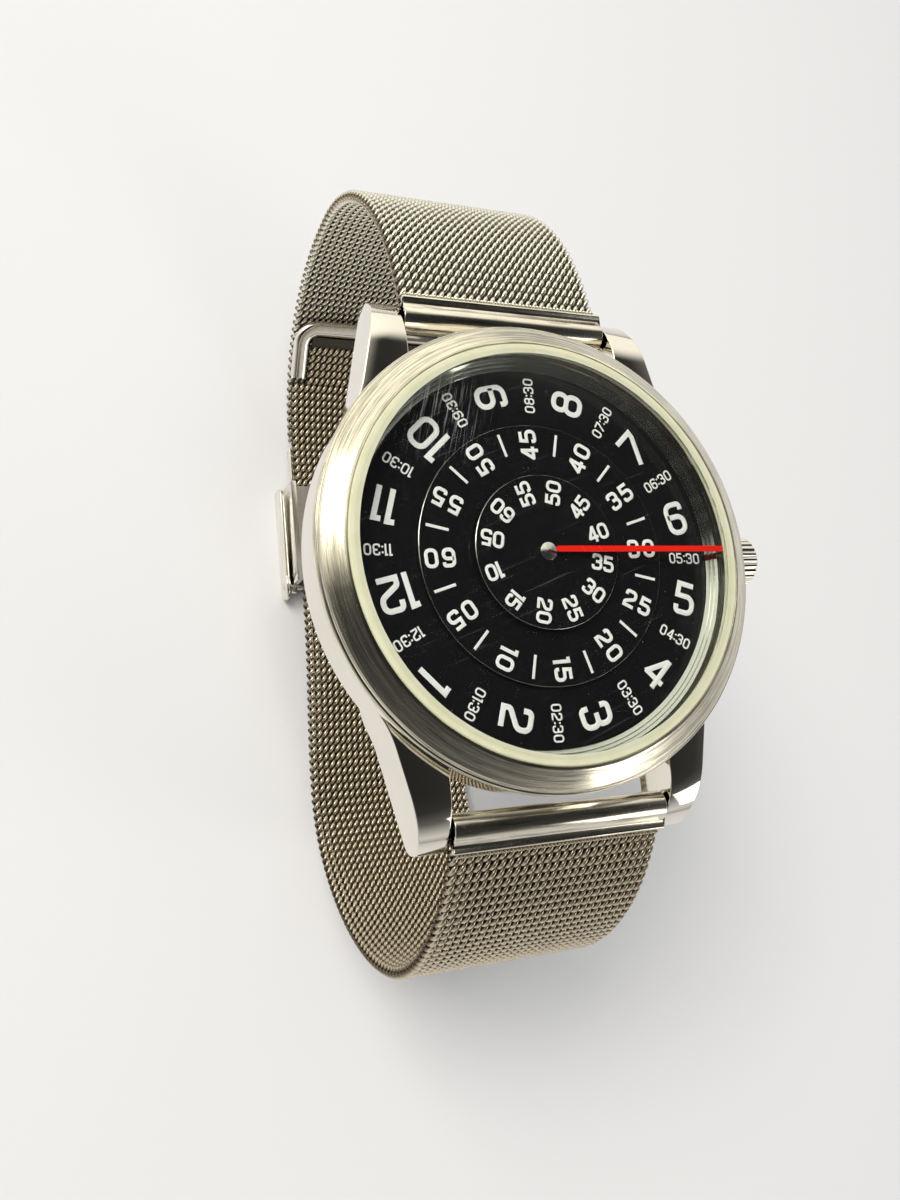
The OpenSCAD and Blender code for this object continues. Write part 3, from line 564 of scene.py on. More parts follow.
@dataclass(frozen=True)
class Metal(Coating):
    """Bare metal with its grain, hairline scratches and a little dirt.

    Args:
        grain: How the surface is worked.
        gloss: Roughness where it is clean.
        depth: Depth of the grain in microns.
        wear: Share of scratches and stains, from 0 to 1.
        tone: How much darker the broad lines along the grain are painted, from 0 to 1: the lines follow the
            grain, and their darkness is painted dark reflection.
    """

    grain: Grain
    gloss: float
    depth: float
    wear: float = 0.5
    tone: float = 0.0

    def lines(self, shader: Shader, place: Socket) -> Value:
        """Work the surface.

        Circular grain is noise of the radius that changes slowly round the ring and is deepest at the rim;
        straight grain is noise drawn out along Y or X.

        Args:
            shader: Shader of the material.
            place: Point in millimetres.

        Returns:
            The grain's height between 0 and 1.
        """
        if self.grain is Grain.CIRCULAR:
            coarse, fine = shader.ringed(place, 1.8, 6.0, 1.0, 2.0), shader.ringed(place, 9.0, 26.0, 1.0, 3.0)
            return (coarse * 0.6 + fine * 0.4) * (0.5 + (shader.radius(place) / BEZEL_R).step(0.93, 0.97))
        x, y, z = shader.parts(place)
        if self.grain is Grain.LENGTHWISE:
            return shader.drawn(x * 16.0, y * 0.5, z * 16.0, 3.0)
        if self.grain is Grain.CROSSWISE:
            return shader.drawn(x * 0.5, y * 16.0, z * 16.0, 3.0)
        return shader.noise(place, 26.0 if self.grain is Grain.FINE else 0.7)

    def broad(self, shader: Shader, place: Socket) -> Value:
        """Lay broad dark lines that follow the grain; their darkness is painted dark reflection.

        Args:
            shader: Shader of the material.
            place: Point in millimetres.

        Returns:
            A value that is 1 where the lines are dark.
        """
        if self.grain is Grain.CIRCULAR:
            # Radius and height nearly cancel on the bezel's slope, so the height counts the other way here
            wide, thin = shader.ringed(place, 1.5, 5.0, -0.6, 1.0), shader.ringed(place, 7.0, 11.0, -0.6, 1.0)
            return wide.step(0.46, 0.58) * 0.5 + thin.step(0.48, 0.58) * 0.5
        x, y, z = shader.parts(place)
        return shader.drawn(x * 0.22, y * 2.4, z * 2.4, 4.0).step(0.48, 0.66)

    def look(self, shader: Shader, place: Socket) -> bpy.types.Material:
        """Return the filled material: grain, two sets of hairline scratches, and stains.

        Args:
            shader: Shader of the material.
            place: Point in millimetres.

        Returns:
            The material.
        """
        lines = self.lines(shader, place)
        hair = shader.stretched(place, 63.0, 7.0, 0.25).step(0.66, 0.74)
        hair_across = shader.stretched(place, 148.0, 9.0, 0.35).step(0.68, 0.76)
        stain = shader.noise(place, 0.35, 4.0).step(0.5, 0.75)
        marks = (hair + hair_across) * self.wear
        colour = shader.mix(stain * (0.5 * self.wear) + marks * 0.15, self.colour, self.times(0.82))
        # Painted dark reflection: the base colour darkens along broad lines of the grain.
        if self.tone > 0.0:
            colour = shader.mix(self.broad(shader, place) * self.tone, colour, self.times(0.3))
        rough = self.gloss + lines * (self.gloss * 0.6) + marks * 0.10 + stain * (0.08 * self.wear)
        normal = shader.bump(marks, 0.8, shader.bump(lines, self.depth))
        return shader.surface(base_color=colour, metallic=1.0, roughness=rough, normal=normal)


@dataclass(frozen=True)
class WovenSteel(Coating):
    """Steel wire of the strap: bright on the crowns of the coils and dark in the hollows, where the dark is
    painted shade.

    Args:
        hollow: Colour deep between the wires, painted shade.
    """

    hollow: Colour

    def look(self, shader: Shader, place: Socket) -> bpy.types.Material:
        """Return the filled material; depth comes from the points' own number, 1 on the outside.

        Args:
            shader: Shader of the material.
            place: Point in millimetres.

        Returns:
            The material.
        """
        outside = shader.add("ShaderNodeAttribute", {"attribute_name": "outside"}).outputs["Fac"]
        depth = Value(shader, outside).step(0.25, 0.95)
        grime = shader.noise(place, 3.5).step(0.45, 0.75)
        worn = shader.mix(shader.noise(place, 0.5, 3.0), self.colour, self.times(0.86))
        # Painted shade: the colour falls from the crowns to the dark hollow colour between the wires.
        colour = shader.mix(depth * (1.0 - grime * 0.25), self.hollow, worn)
        return shader.surface(base_color=colour, metallic=0.92, roughness=0.33 - depth * 0.14 + grime * 0.1,
                              normal=shader.bump(shader.noise(place, 14.0), 3.0))


@dataclass(frozen=True)
class Lacquer(Coating):
    """Glossy paint on a thin plate, with dust and fine cleaning marks.

    Args:
        dust: Brightness of the dust specks.
        gloss: Roughness of the clean paint.
        bare: Radius from which the metal shows, or 0 where there is no bare edge.
    """

    dust: float
    gloss: float
    bare: float = 0.0

    def look(self, shader: Shader, place: Socket) -> bpy.types.Material:
        """Return the filled material: paint with specks of dust near scattered points.

        Args:
            shader: Shader of the material.
            place: Point in millimetres.

        Returns:
            The material.
        """
        scattered = shader.add("ShaderNodeTexVoronoi", {"voronoi_dimensions": "3D"},
                               {"Vector": place, "Scale": 1.3}).outputs["Distance"]
        speck = 1.0 - Value(shader, scattered).step(0.035, 0.06)
        rare = shader.noise(place, 0.9, 1.0).step(0.5, 0.56)
        film = shader.noise(place, 0.25, 4.0)
        swirl = shader.stretched(place, 118.0, 5.0, 0.2).step(0.6, 0.75)
        dusty = tuple(c + self.dust for c in self.colour)
        inputs = {"base_color": shader.mix(speck * rare, self.colour, dusty),
                  "roughness": self.gloss + film * 0.06 + swirl * 0.05 + speck * rare * 0.4,
                  "normal": shader.bump(shader.noise(place, 6.0), 0.35), "specular_ior_level": 0.45}
        if self.bare > 0.0:
            edge = shader.radius(place).step(self.bare - 0.01, self.bare)
            inputs.update(base_color=shader.mix(edge, inputs["base_color"], (0.62, 0.61, 0.57)),
                          roughness=inputs["roughness"] + edge * 0.08, metallic=edge)
        return shader.surface(**inputs)


@dataclass(frozen=True)
class Moulded(Coating):
    """Plastic, rubber or print: an even colour with a slight grain and a little unevenness.

    Args:
        second: Colour of the cloudy patches.
        rough: Roughness.
        grain: Height of the grain in microns.
        glow: Share of light that goes through the surface layer.
    """

    second: Colour
    rough: float
    grain: float
    glow: float = 0.0

    def look(self, shader: Shader, place: Socket) -> bpy.types.Material:
        """Return the filled material.

        Args:
            shader: Shader of the material.
            place: Point in millimetres.

        Returns:
            The material.
        """
        patch = shader.noise(place, 0.6, 4.0).step(0.35, 0.7)
        pores = shader.noise(place, 18.0)
        extra = {"subsurface_weight": self.glow, "subsurface_radius": (0.0006, 0.0006, 0.0004),
                 "subsurface_scale": 1.0} if self.glow > 0.0 else {}
        return shader.surface(base_color=shader.mix(patch, self.colour, self.second), **extra,
                              roughness=self.rough + pores * 0.12, normal=shader.bump(pores, self.grain))


@dataclass(frozen=True)
class Glass(Coating):
    """Flat mineral glass with hairline scratches, more of them near one edge.

    Args:
        worn_at: Direction of the worn patch from +X, in degrees.
        worn_r: Distance of that patch from the centre.
    """

    worn_at: float = 128.0
    worn_r: float = 14.4

    def look(self, shader: Shader, place: Socket) -> bpy.types.Material:
        """Return the filled material; lamps shine straight through it.

        Args:
            shader: Shader of the material.
            place: Point in millimetres.

        Returns:
            The material.
        """
        x0, y0 = (float(self.worn_r * f(np.radians(self.worn_at))) for f in (np.cos, np.sin))
        patch = 1.0 - shader.radius(place, x0, y0).step(1.0, 5.5)
        streak = shader.stretched(place, 74.0, 6.0, 0.3).step(0.56, 0.68) * patch
        stray = shader.stretched(place, 20.0, 5.0, 0.12).step(0.70, 0.76)
        marks = streak + stray * 0.5
        film = shader.noise(place, 0.3, 3.0).step(0.45, 0.8)
        clear = shader.principled(base_color=self.colour, roughness=marks * 0.22 + film * 0.02,
                                  transmission_weight=1.0, ior=1.5, normal=shader.bump(marks, 1.2))
        pale = shader.principled(base_color=(0.86, 0.87, 0.86), roughness=0.6, specular_ior_level=0.2)
        scored = shader.blend(streak * 0.11 + stray * 0.03, clear, pale)
        through = shader.add("ShaderNodeBsdfTransparent", None, {"Color": (0.93, 0.95, 0.94)})
        shadow = shader.add("ShaderNodeLightPath").outputs["Is Shadow Ray"]
        return shader.surface(shader.blend(shadow, scored, through))


@dataclass(frozen=True)
class Winding(Coating):
    """Fine wire wound in even turns along X.

    Args:
        pitch: Width of one turn.
    """

    pitch: float = 0.09

    def look(self, shader: Shader, place: Socket) -> bpy.types.Material:
        """Return the filled material; a turn's height is the size of the sine of x over the pitch, and the
        colour darkens with it into the grooves between turns as painted shade.

        Args:
            shader: Shader of the material.
            place: Point in millimetres.

        Returns:
            The material.
        """
        phase = shader.parts(place)[0] * float(np.pi / self.pitch)
        turn = phase.of("SINE").of("ABSOLUTE")
        # Painted shade: the colour falls to 0.35 of itself in the grooves between turns.
        return shader.surface(base_color=shader.mix(turn, self.times(0.35), self.colour), metallic=0.9,
                              roughness=0.42 - turn * 0.16, normal=shader.bump(turn, 22.0))


@dataclass(frozen=True)
class Board(Coating):
    """Circuit board: green lacquer over thin copper tracks.

    Args:
        track: Colour over a track.
    """

    track: Colour

    def look(self, shader: Shader, place: Socket) -> bpy.types.Material:
        """Return the filled material; tracks are the narrow bands of a grid that noise breaks up.

        Args:
            shader: Shader of the material.
            place: Point in millimetres.

        Returns:
            The material.
        """
        bands = [1.0 - ((v * 0.9).of("FRACT") - 0.5).of("ABSOLUTE").step(0.07, 0.1)
                 for v in shader.parts(place)[:2]]
        keep = shader.noise(place, 0.45, 0.0).step(0.49, 0.51)
        track = bands[0] * keep + bands[1] * (1.0 - keep)
        weave = shader.noise(place, 12.0)
        return shader.surface(base_color=shader.mix(track, self.colour, self.track),
                              roughness=0.34 + weave * 0.1, normal=shader.bump(track + weave * 0.2, 12.0))


BLACK_PAINT = (0.006, 0.006, 0.007)


class Finish(Enum):
    """Every finish of the watch; its value describes the material and names the record's slot."""

    POLISHED = (Metal("polished steel", (0.83, 0.79, 0.71), Grain.MIRROR, 0.05, 0.8, 0.35), "polished_steel")
    BEZEL = (Metal("circular brushed steel", (0.88, 0.83, 0.67), Grain.CIRCULAR, 0.14, 7.0, 0.9, 0.78),
             "brushed_steel")
    BACK = (Metal("brushed case back steel", (0.78, 0.76, 0.72), Grain.CIRCULAR, 0.24, 4.0, 0.6),
            "brushed_steel")
    SLEEVE = (Metal("worn sleeve steel", (0.84, 0.79, 0.67), Grain.CROSSWISE, 0.12, 2.0, 0.8, 0.6),
              "polished_steel")
    WALL = (Metal("inner ring steel", (0.60, 0.62, 0.55), Grain.MIRROR, 0.05, 0.3, 0.2), "polished_steel")
    CLASP = (Metal("brushed clasp steel", (0.78, 0.76, 0.71), Grain.CROSSWISE, 0.17, 2.5, 0.5),
             "polished_steel")
    CONE = (Metal("turned hub steel", (0.80, 0.78, 0.74), Grain.CIRCULAR, 0.12, 2.0, 0.2), "polished_steel")
    # The two wire finishes are lit and shaded copies of one steel: the darker, browner one is painted shade
    # for the 6 o'clock half.
    WIRE = (WovenSteel("woven steel wire", (0.98, 0.95, 0.80), (0.30, 0.25, 0.18)), "woven_steel")
    WORN_WIRE = (WovenSteel("worn steel wire", (0.82, 0.72, 0.54), (0.12, 0.09, 0.06)), "woven_steel")
    # A dark band inside the weave, painted shade.
    CORE = (Metal("shadowed strap core", (0.10, 0.09, 0.075), Grain.FINE, 0.45, 6.0, 0.3), "woven_steel")
    GLASS = (Glass("scratched mineral glass", (0.985, 0.995, 0.99)), "crystal_glass")
    NYLON = (Moulded("pale nylon gasket", (0.72, 0.71, 0.50), (0.66, 0.67, 0.44), 0.30, 2.0, 0.2),
             "gasket_nylon")
    BLACK = (Lacquer("black disc lacquer", BLACK_PAINT, 0.22, 0.06), "dial_black")
    BLACK_HOURS = (Lacquer("hour disc lacquer", BLACK_PAINT, 0.22, 0.06, 16.285), "dial_black")
    BLACK_MINUTES = (Lacquer("minute disc lacquer", BLACK_PAINT, 0.22, 0.06, 10.955), "dial_black")
    BLACK_SECONDS = (Lacquer("second disc lacquer", BLACK_PAINT, 0.22, 0.06, 6.455), "dial_black")
    RED = (Lacquer("red pointer lacquer", (0.90, 0.030, 0.018), 0.1, 0.22), "pointer_red")
    INK = (Moulded("white disc print", (0.98, 0.98, 0.96), (0.93, 0.93, 0.91), 0.42, 1.0), "dial_black")
    RUBBER = (Moulded("seal rubber", (0.02, 0.02, 0.022), (0.035, 0.035, 0.035), 0.55, 3.0), "seal_rubber")
    HOLDER = (Moulded("holder plastic", (0.74, 0.74, 0.70), (0.68, 0.68, 0.63), 0.40, 2.5), "holder_plastic")
    BRASS = (Metal("movement brass", (0.78, 0.60, 0.30), Grain.FINE, 0.24, 1.5, 0.2), "movement_brass")
    PLATE = (Metal("grained movement plate", (0.76, 0.62, 0.36), Grain.LENGTHWISE, 0.26, 2.0, 0.2),
             "movement_brass")
    STEEL = (Metal("movement steel", (0.66, 0.66, 0.66), Grain.FINE, 0.20, 1.2, 0.2), "movement_steel")
    BRIDGE = (Metal("grained bridge steel", (0.70, 0.70, 0.69), Grain.CROSSWISE, 0.22, 2.0, 0.2),
              "movement_steel")
    BLUED = (Metal("blued screw steel", (0.07, 0.11, 0.32), Grain.FINE, 0.18, 1.0, 0.2), "blued_steel")
    BOARD = (Board("circuit board lacquer", (0.02, 0.12, 0.06), (0.05, 0.22, 0.10)), "board_green")
    COIL = (Winding("copper coil", (0.74, 0.34, 0.17)), "coil_copper")


@dataclass(frozen=True)
class Role:
    """What a piece is besides its shape.

    Args:
        name: Name of the piece.
        finish: Its finish.
        body: The body that it moves with.
        replaces: The solids that it stands for.
    """

    name: str
    finish: Finish
    body: str
    replaces: tuple[str, ...] = ()


@dataclass
class Bench:
    """Where pieces are finished: it makes meshes, gives them their finish and hangs them on their bodies.

    Args:
        nodes: The solids' objects by name.
        made: The materials made so far.
    """

    nodes: dict[str, bpy.types.Object]
    made: dict[Finish, bpy.types.Material] = field(default_factory=dict)

    def finish(self, finish: Finish) -> bpy.types.Material:
        """Return the finish's material, made once."""
        if finish not in self.made:
            self.made[finish] = finish.value[0].material()
        return self.made[finish]

    def hang(self, role: Role, mesh: bpy.types.Mesh) -> bpy.types.Object:
        """Make an object of a mesh, give it its finish and its body, and report it.

        Args:
            role: What the piece is.
            mesh: Its mesh.

        Returns:
            The new object.
        """
        piece = bpy.data.objects.new(role.name, mesh)
        finish, body, replaces = role.finish, role.body, role.replaces
        bpy.context.scene.collection.objects.link(piece)
        mesh.materials.clear()
        mesh.materials.append(self.finish(finish))
        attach(piece, body)
        if replaces:
            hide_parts(*replaces)
        log.info("piece %s: %d faces, rides on %s", piece.name, len(mesh.polygons), body)
        return piece

    def piece(self, role: Role, surface: Surface, crease: float = 35.0) -> None:
        """Make a piece from a surface.

        Args:
            role: What the piece is.
            surface: Its surface.
            crease: Angle in degrees above which an edge stays sharp.
        """
        mesh = bpy.data.meshes.new(role.name)
        mesh.vertices.add(len(surface.points))
        mesh.vertices.foreach_set("co", (surface.points * MM).astype(np.float32).ravel())
        corners = np.concatenate([surface.quads.ravel(), surface.tris.ravel()]).astype(np.int32)
        sizes = np.concatenate([np.full(len(surface.quads), 4), np.full(len(surface.tris), 3)])
        mesh.loops.add(len(corners))
        mesh.loops.foreach_set("vertex_index", corners)
        mesh.polygons.add(len(sizes))
        mesh.polygons.foreach_set("loop_start", (np.cumsum(sizes) - sizes).astype(np.int32))
        mesh.update(calc_edges=True)
        if surface.shade is not None:
            layer = mesh.attributes.new("outside", "FLOAT", "POINT")
            layer.data.foreach_set("value", surface.shade.astype(np.float32))
        mesh.shade_smooth()
        if crease < 180.0:
            mesh.set_sharp_from_angle(angle=float(np.radians(crease)))
        self.hang(role, mesh)

    def turned(self, role: Role, corners: Rows, steps: int = 288, closed: bool = True, arc: int = 4,
               crease: float = 30.0) -> None:
        """Make a piece by turning a rounded profile round the Z axis.

        Args:
            role: What the piece is.
            corners: Distance from the axis, height and radius of each corner.
            steps: Number of spans round the axis.
            closed: The profile closes; if not, it starts and ends on the axis.
            arc: Number of spans in a corner.
            crease: Angle in degrees above which an edge stays sharp.
        """
        self.piece(role, revolve(rounded(corners, closed, arc), steps), crease)

    def eased(self, node: str, role: Role, edge: float) -> None:
        """Make a piece from a solid's own mesh with its edges rounded.

        Args:
            node: The solid.
            role: What the piece is.
            edge: Radius of the rounding.
        """
        mesh = self.nodes[node].data.copy()
        mesh.name = role.name
        work = bmesh.new()
        work.from_mesh(mesh)
        bmesh.ops.remove_doubles(work, verts=work.verts, dist=WELD)
        bmesh.ops.dissolve_limit(work, angle_limit=float(np.radians(FLAT)), verts=work.verts, edges=work.edges)
        work.to_mesh(mesh)
        work.free()
        mesh.shade_smooth()
        ease = self.hang(role, mesh).modifiers.new("eased edges", "BEVEL")
        ease.width = edge * MM
        ease.segments = 3
        ease.limit_method = "ANGLE"
        ease.angle_limit = float(np.radians(SHARP))
        ease.use_clamp_overlap = True
        ease.harden_normals = True

    def dress(self, finish: Finish, *names: str) -> None:
        """Give solids that stay as they are a better material.

        Args:
            finish: The finish.
            names: The solids.
        """
        for name in names:
            for slot in self.nodes[name].material_slots:
                slot.material = self.finish(finish)
            log.info("solid %s keeps its shape", name)


# Numbers on the discs

LOW, HIGH, RIGHT = 0.078, 0.922, 0.6
ONE_W, COLON_W, DIGIT_W = 0.278, 0.156, 0.676


@dataclass(frozen=True)
class Lettering:
    """Digits drawn with a stroke of even width, and where they stand on a disc.

    The strokes are drawn for a digit 1 high whose line runs between LOW and HIGH and between LOW and RIGHT,
    and are then fitted to the height, width and stroke.

    Args:
        height: Height of a digit.
        width: Width of a digit.
        stroke: Width of the stroke.
        gap: Gap between digits.
        outer: Distance from the centre to the end of the text.
        thick: Thickness of the print.
        layer: What each further stroke of a sign is thicker, where strokes cross.
    """

    height: float
    width: float
    stroke: float
    gap: float
    outer: float
    thick: float = 0.014
    layer: float = 0.0015

    def strokes(self, sign: str) -> list[tuple[bool, list[tuple[float, float, float]]]]:
        """Look up a sign.

        Args:
            sign: A digit or a colon.

        Returns:
            Its strokes: closed or not, and the corners with their radii, in heights of the sign.
        """
        six = [(RIGHT, 0.74, 0.0), (RIGHT, HIGH, 0.2), (LOW, HIGH, 0.22), (LOW, LOW, 0.22),
               (RIGHT, LOW, 0.22), (RIGHT, 0.55, 0.2), (LOW, 0.55, 0.0)]
        signs = {
            "0": [(True, [(LOW, LOW, 0.22), (RIGHT, LOW, 0.22), (RIGHT, HIGH, 0.22), (LOW, HIGH, 0.22)])],
            "1": [(False, [(0.0, 0.9, 0.0), (0.2, HIGH, 0.0), (0.2, 0.0, 0.0)])],
            "2": [(False, [(LOW, 0.68, 0.0), (LOW, HIGH, 0.2), (RIGHT, HIGH, 0.2), (RIGHT, 0.56, 0.2),
                           (0.3, 0.4, 0.1), (LOW, 0.28, 0.12), (LOW, LOW, 0.0), (0.62, LOW, 0.0)])],
            "3": [(False, [(LOW, 0.7, 0.0), (LOW, HIGH, 0.2), (0.58, HIGH, 0.2), (0.58, 0.52, 0.12),
                           (0.25, 0.52, 0.0)]),
                  (False, [(0.25, 0.52, 0.0), (RIGHT, 0.52, 0.16), (RIGHT, LOW, 0.2), (LOW, LOW, 0.2),
                           (LOW, 0.3, 0.0)])],
            "4": [(False, [(0.7, 0.29, 0.0), (0.04, 0.29, 0.0)]),
                  (False, [(0.06, 0.24, 0.0), (0.47, 0.95, 0.0)]),
                  (False, [(0.5, 1.0, 0.0), (0.5, 0.0, 0.0)])],
            "5": [(False, [(0.58, HIGH, 0.0), (0.11, HIGH, 0.0), (0.09, 0.57, 0.0), (RIGHT, 0.57, 0.2),
                           (RIGHT, LOW, 0.2), (LOW, LOW, 0.2), (LOW, 0.28, 0.0)])],
            "6": [(False, six)],
            "7": [(False, [(0.0, HIGH, 0.0), (RIGHT, HIGH, 0.0), (0.58, 0.76, 0.05), (0.16, 0.0, 0.0)])],
            "8": [(True, [(0.1, 0.52, 0.16), (0.58, 0.52, 0.16), (0.58, HIGH, 0.2), (0.1, HIGH, 0.2)]),
                  (True, [(LOW, LOW, 0.2), (RIGHT, LOW, 0.2), (RIGHT, 0.52, 0.18), (LOW, 0.52, 0.18)])],
            "9": [(False, [(LOW + RIGHT - x, 1.0 - y, r) for x, y, r in six])],
            ":": [(False, [(0.0, y, 0.0), (COLON_W, y, 0.0)]) for y in (0.25, 0.72)],
        }
        return signs[sign]

    def advance(self, sign: str) -> float:
        """Return the width of one sign."""
        narrow = {"1": ONE_W / DIGIT_W, ":": self.stroke / self.height / DIGIT_W}
        return self.width * narrow.get(sign, 1.0)

    def ribbon(self, corners: Array, closed: bool, level: float, thick: float) -> Surface:
        """Draw one stroke as a low ridge with chamfered edges.

        The centre line's normal is the mean of its neighbours' directions turned by 90 degrees, longer at a
        corner by one over the cosine of half the turn, so that the stroke keeps its width.

        Args:
            corners: Centre line of shape (n, 2).
            closed: It runs back to its start.
            level: Height of its foot.
            thick: Its thickness.

        Returns:
            The closed surface.
        """
        on, back = np.roll(corners, -1, axis=0) - corners, corners - np.roll(corners, 1, axis=0)
        if not closed:
            on[-1], back[0] = back[-1], on[0]
        on, back = unit(on), unit(back)
        mean = unit(on + back)
        longer = 1.0 / np.maximum(np.einsum("ij,ij->i", mean, on), 0.6)
        side = np.stack([-mean[:, 1], mean[:, 0], np.zeros(len(mean))], axis=-1) * longer[:, None]
        half, ease = self.stroke / 2, min(0.02, thick)
        section = np.array([[-half, 0.0], [half, 0.0], [half, thick * 0.4], [half - ease, thick],
                            [ease - half, thick], [-half, thick * 0.4]])
        return sweep(np.column_stack([corners, np.full(len(corners), level)]), side, section, closed)

    def text(self, words: str, angle: float, level: float) -> list[Surface]:
        """Write a number that reads outward along a radius and ends at the outer distance.

        Each further stroke of a sign is a little thicker, so that no two faces lie in one plane.

        Args:
            words: The signs.
            angle: Direction of the radius from +X, in degrees.
            level: Height of the disc's face.

        Returns:
            The surfaces of all the strokes.
        """
        widths = [self.advance(w) for w in words]
        start = self.outer - sum(widths) - self.gap * (len(words) - 1)
        half = self.stroke / 2 / self.height
        made = []
        for sign, width in zip(words, widths):
            for order, (closed, corners) in enumerate(self.strokes(sign)):
                table = np.array(corners)
                if sign in ":1":
                    x = table[:, 0] * width / (COLON_W if sign == ":" else ONE_W)
                else:
                    share = (table[:, 0] - LOW) / (RIGHT - LOW)
                    x = (half + share * (width / self.height - 2 * half)) * self.height
                inner = (table[:, 1] > 0.0) & (table[:, 1] < 1.0)
                fitted = half + (table[:, 1] - LOW) / (HIGH - LOW) * (1.0 - 2 * half)
                y = np.where(inner, fitted, table[:, 1])
                x, y, radii = x + start, (y - 0.5) * self.height, table[:, 2] * self.height
                line = rounded(np.column_stack([x, y, radii]), closed, 5)
                stroke = self.ribbon(line, closed, level, self.thick + self.layer * order)
                made.append(stroke.placed(turn_z(angle)))
            start += width + self.gap
        return made

    def tick(self, inner: float, angle: float, level: float) -> Surface:
        """Return a plain line along a radius, from the inner to the outer distance."""
        line = np.array([[inner, 0.0], [self.outer, 0.0]])
        return self.ribbon(line, False, level, self.thick).placed(turn_z(angle))


@dataclass
class Dial:
    """The three discs with their numbers, the cone at the centre and the fixed red pointer.

    Args:
        bench: Where the pieces are finished.
        hours: Lettering of the hours.
        halves: Lettering of the half hours.
        minutes: Lettering of the minutes.
        seconds: Lettering of the seconds.
        ticks: The lines between the minutes.
        tick_from: Distance from the centre to the start of such a line.
        tick_turn: How far these lines stand past the pointer, in degrees.
        turns: How far the hours, minutes and seconds stand past the pointer, in degrees.
        edge: Chamfer of a disc's edge.
    """

    bench: Bench
    hours: Lettering = Lettering(2.96, 2.0, 0.46, 0.33, 14.8)
    halves: Lettering = Lettering(0.95, 0.62, 0.145, 0.11, 15.3)
    minutes: Lettering = Lettering(1.6, 1.16, 0.30, 0.33, 10.6)
    seconds: Lettering = Lettering(1.4, 0.99, 0.26, 0.1, 6.1)
    ticks: Lettering = Lettering(1.0, 1.0, 0.24, 0.0, 10.49)
    tick_from: float = 8.54
    tick_turn: float = 2.0
    turns: tuple[float, float, float] = (-1.8, 2.2, -11.9)
    edge: float = 0.045

    def disc(self, node: str, body: str, steps: int, finish: Finish) -> float:
        """Make a disc with a chamfered edge over its solid.

        Args:
            node: The solid.
            body: The body that it moves with.
            steps: Number of spans round the edge.
            finish: Its finish.

        Returns:
            The height of its face.
        """
        low, high = (np.array(v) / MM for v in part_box(node))
        r, z0, z1 = float(high[0]), float(low[2]), float(high[2])
        self.bench.turned(Role(node + "_face", finish, body, (node,)), [
            (0, z0, 0), (r, z0, 0.02), (r, z1 - self.edge, 0.012), (r - self.edge, z1, 0.012), (0, z1, 0)],
            steps, False, 3, 25.0)
        return z1

    def build(self) -> None:
        """Make the discs, print their numbers and add the cone and the pointer."""
        hour_z = self.disc("hour_disc", "hours", 288, Finish.BLACK_HOURS)
        minute_z = self.disc("minute_disc", "minutes", 224, Finish.BLACK_MINUTES)
        second_z = self.disc("second_disc", "seconds", 160, Finish.BLACK_SECONDS)
        hour_turn, minute_turn, second_turn = self.turns
        printed = {"hour": [], "minute": [], "second": []}
        for k in range(1, 13):
            five = f"{5 * k:02d}"
            printed["hour"] += self.hours.text(str(k), (k - 5.5) * 30 + hour_turn, hour_z)
            printed["hour"] += self.halves.text(f"{k:02d}:30", (k - 5) * 30 + hour_turn, hour_z)
            printed["minute"] += self.minutes.text(five, (k - 6) * 30 + minute_turn, minute_z)
            printed["minute"] += [self.ticks.tick(self.tick_from, (k + 0.5) * 30 + self.tick_turn, minute_z)]
            printed["second"] += self.seconds.text(five, (k - 7) * 30 + second_turn, second_z)
        for name, parts in printed.items():
            self.bench.piece(Role(name + "_numbers", Finish.INK, name + "s"), Surface.joined(parts))
        self.bench.turned(Role("hub_cone", Finish.CONE, "seconds", ("hub_cap",)), [
            (0, second_z, 0), (0.75, second_z, 0.02), (0.75, second_z + 0.06, 0.03),
            (0.11, second_z + 0.235, 0.05), (0, second_z + 0.24, 0)], 72, False)
        self.pointer()

    def pointer(self) -> None:
        """Make the pointer: a flat bar under the glass with a round inner end and an eased lower edge."""
        low, high = (np.array(v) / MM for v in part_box("pointer"))
        half, ease = float(high[1]), 0.03
        centre = np.array([low[0] + half, 0.0])
        a = np.linspace(np.pi / 2, 3 * np.pi / 2, 17)
        outline = np.concatenate([np.column_stack([centre[0] + half * np.cos(a), half * np.sin(a)]),
                                  [[high[0], -half], [high[0], half]]])
        inset = outline - ease * np.sign(outline - centre) * np.minimum(1.0, np.abs(outline - centre) / half)
        rows = ((inset, low[2]), (outline, low[2] + ease), (outline, high[2]))
        points = np.concatenate([np.column_stack([flat, np.full(len(flat), z)]) for flat, z in rows])
        strips, tris = flat_ends(len(rows), len(outline))
        quads = np.concatenate([grid_quads(len(rows), len(outline)), strips])
        self.bench.piece(Role("red_pointer", Finish.RED, "case", ("pointer",)),
                         Surface(points, quads, tris).outward(), 30.0)


# Case


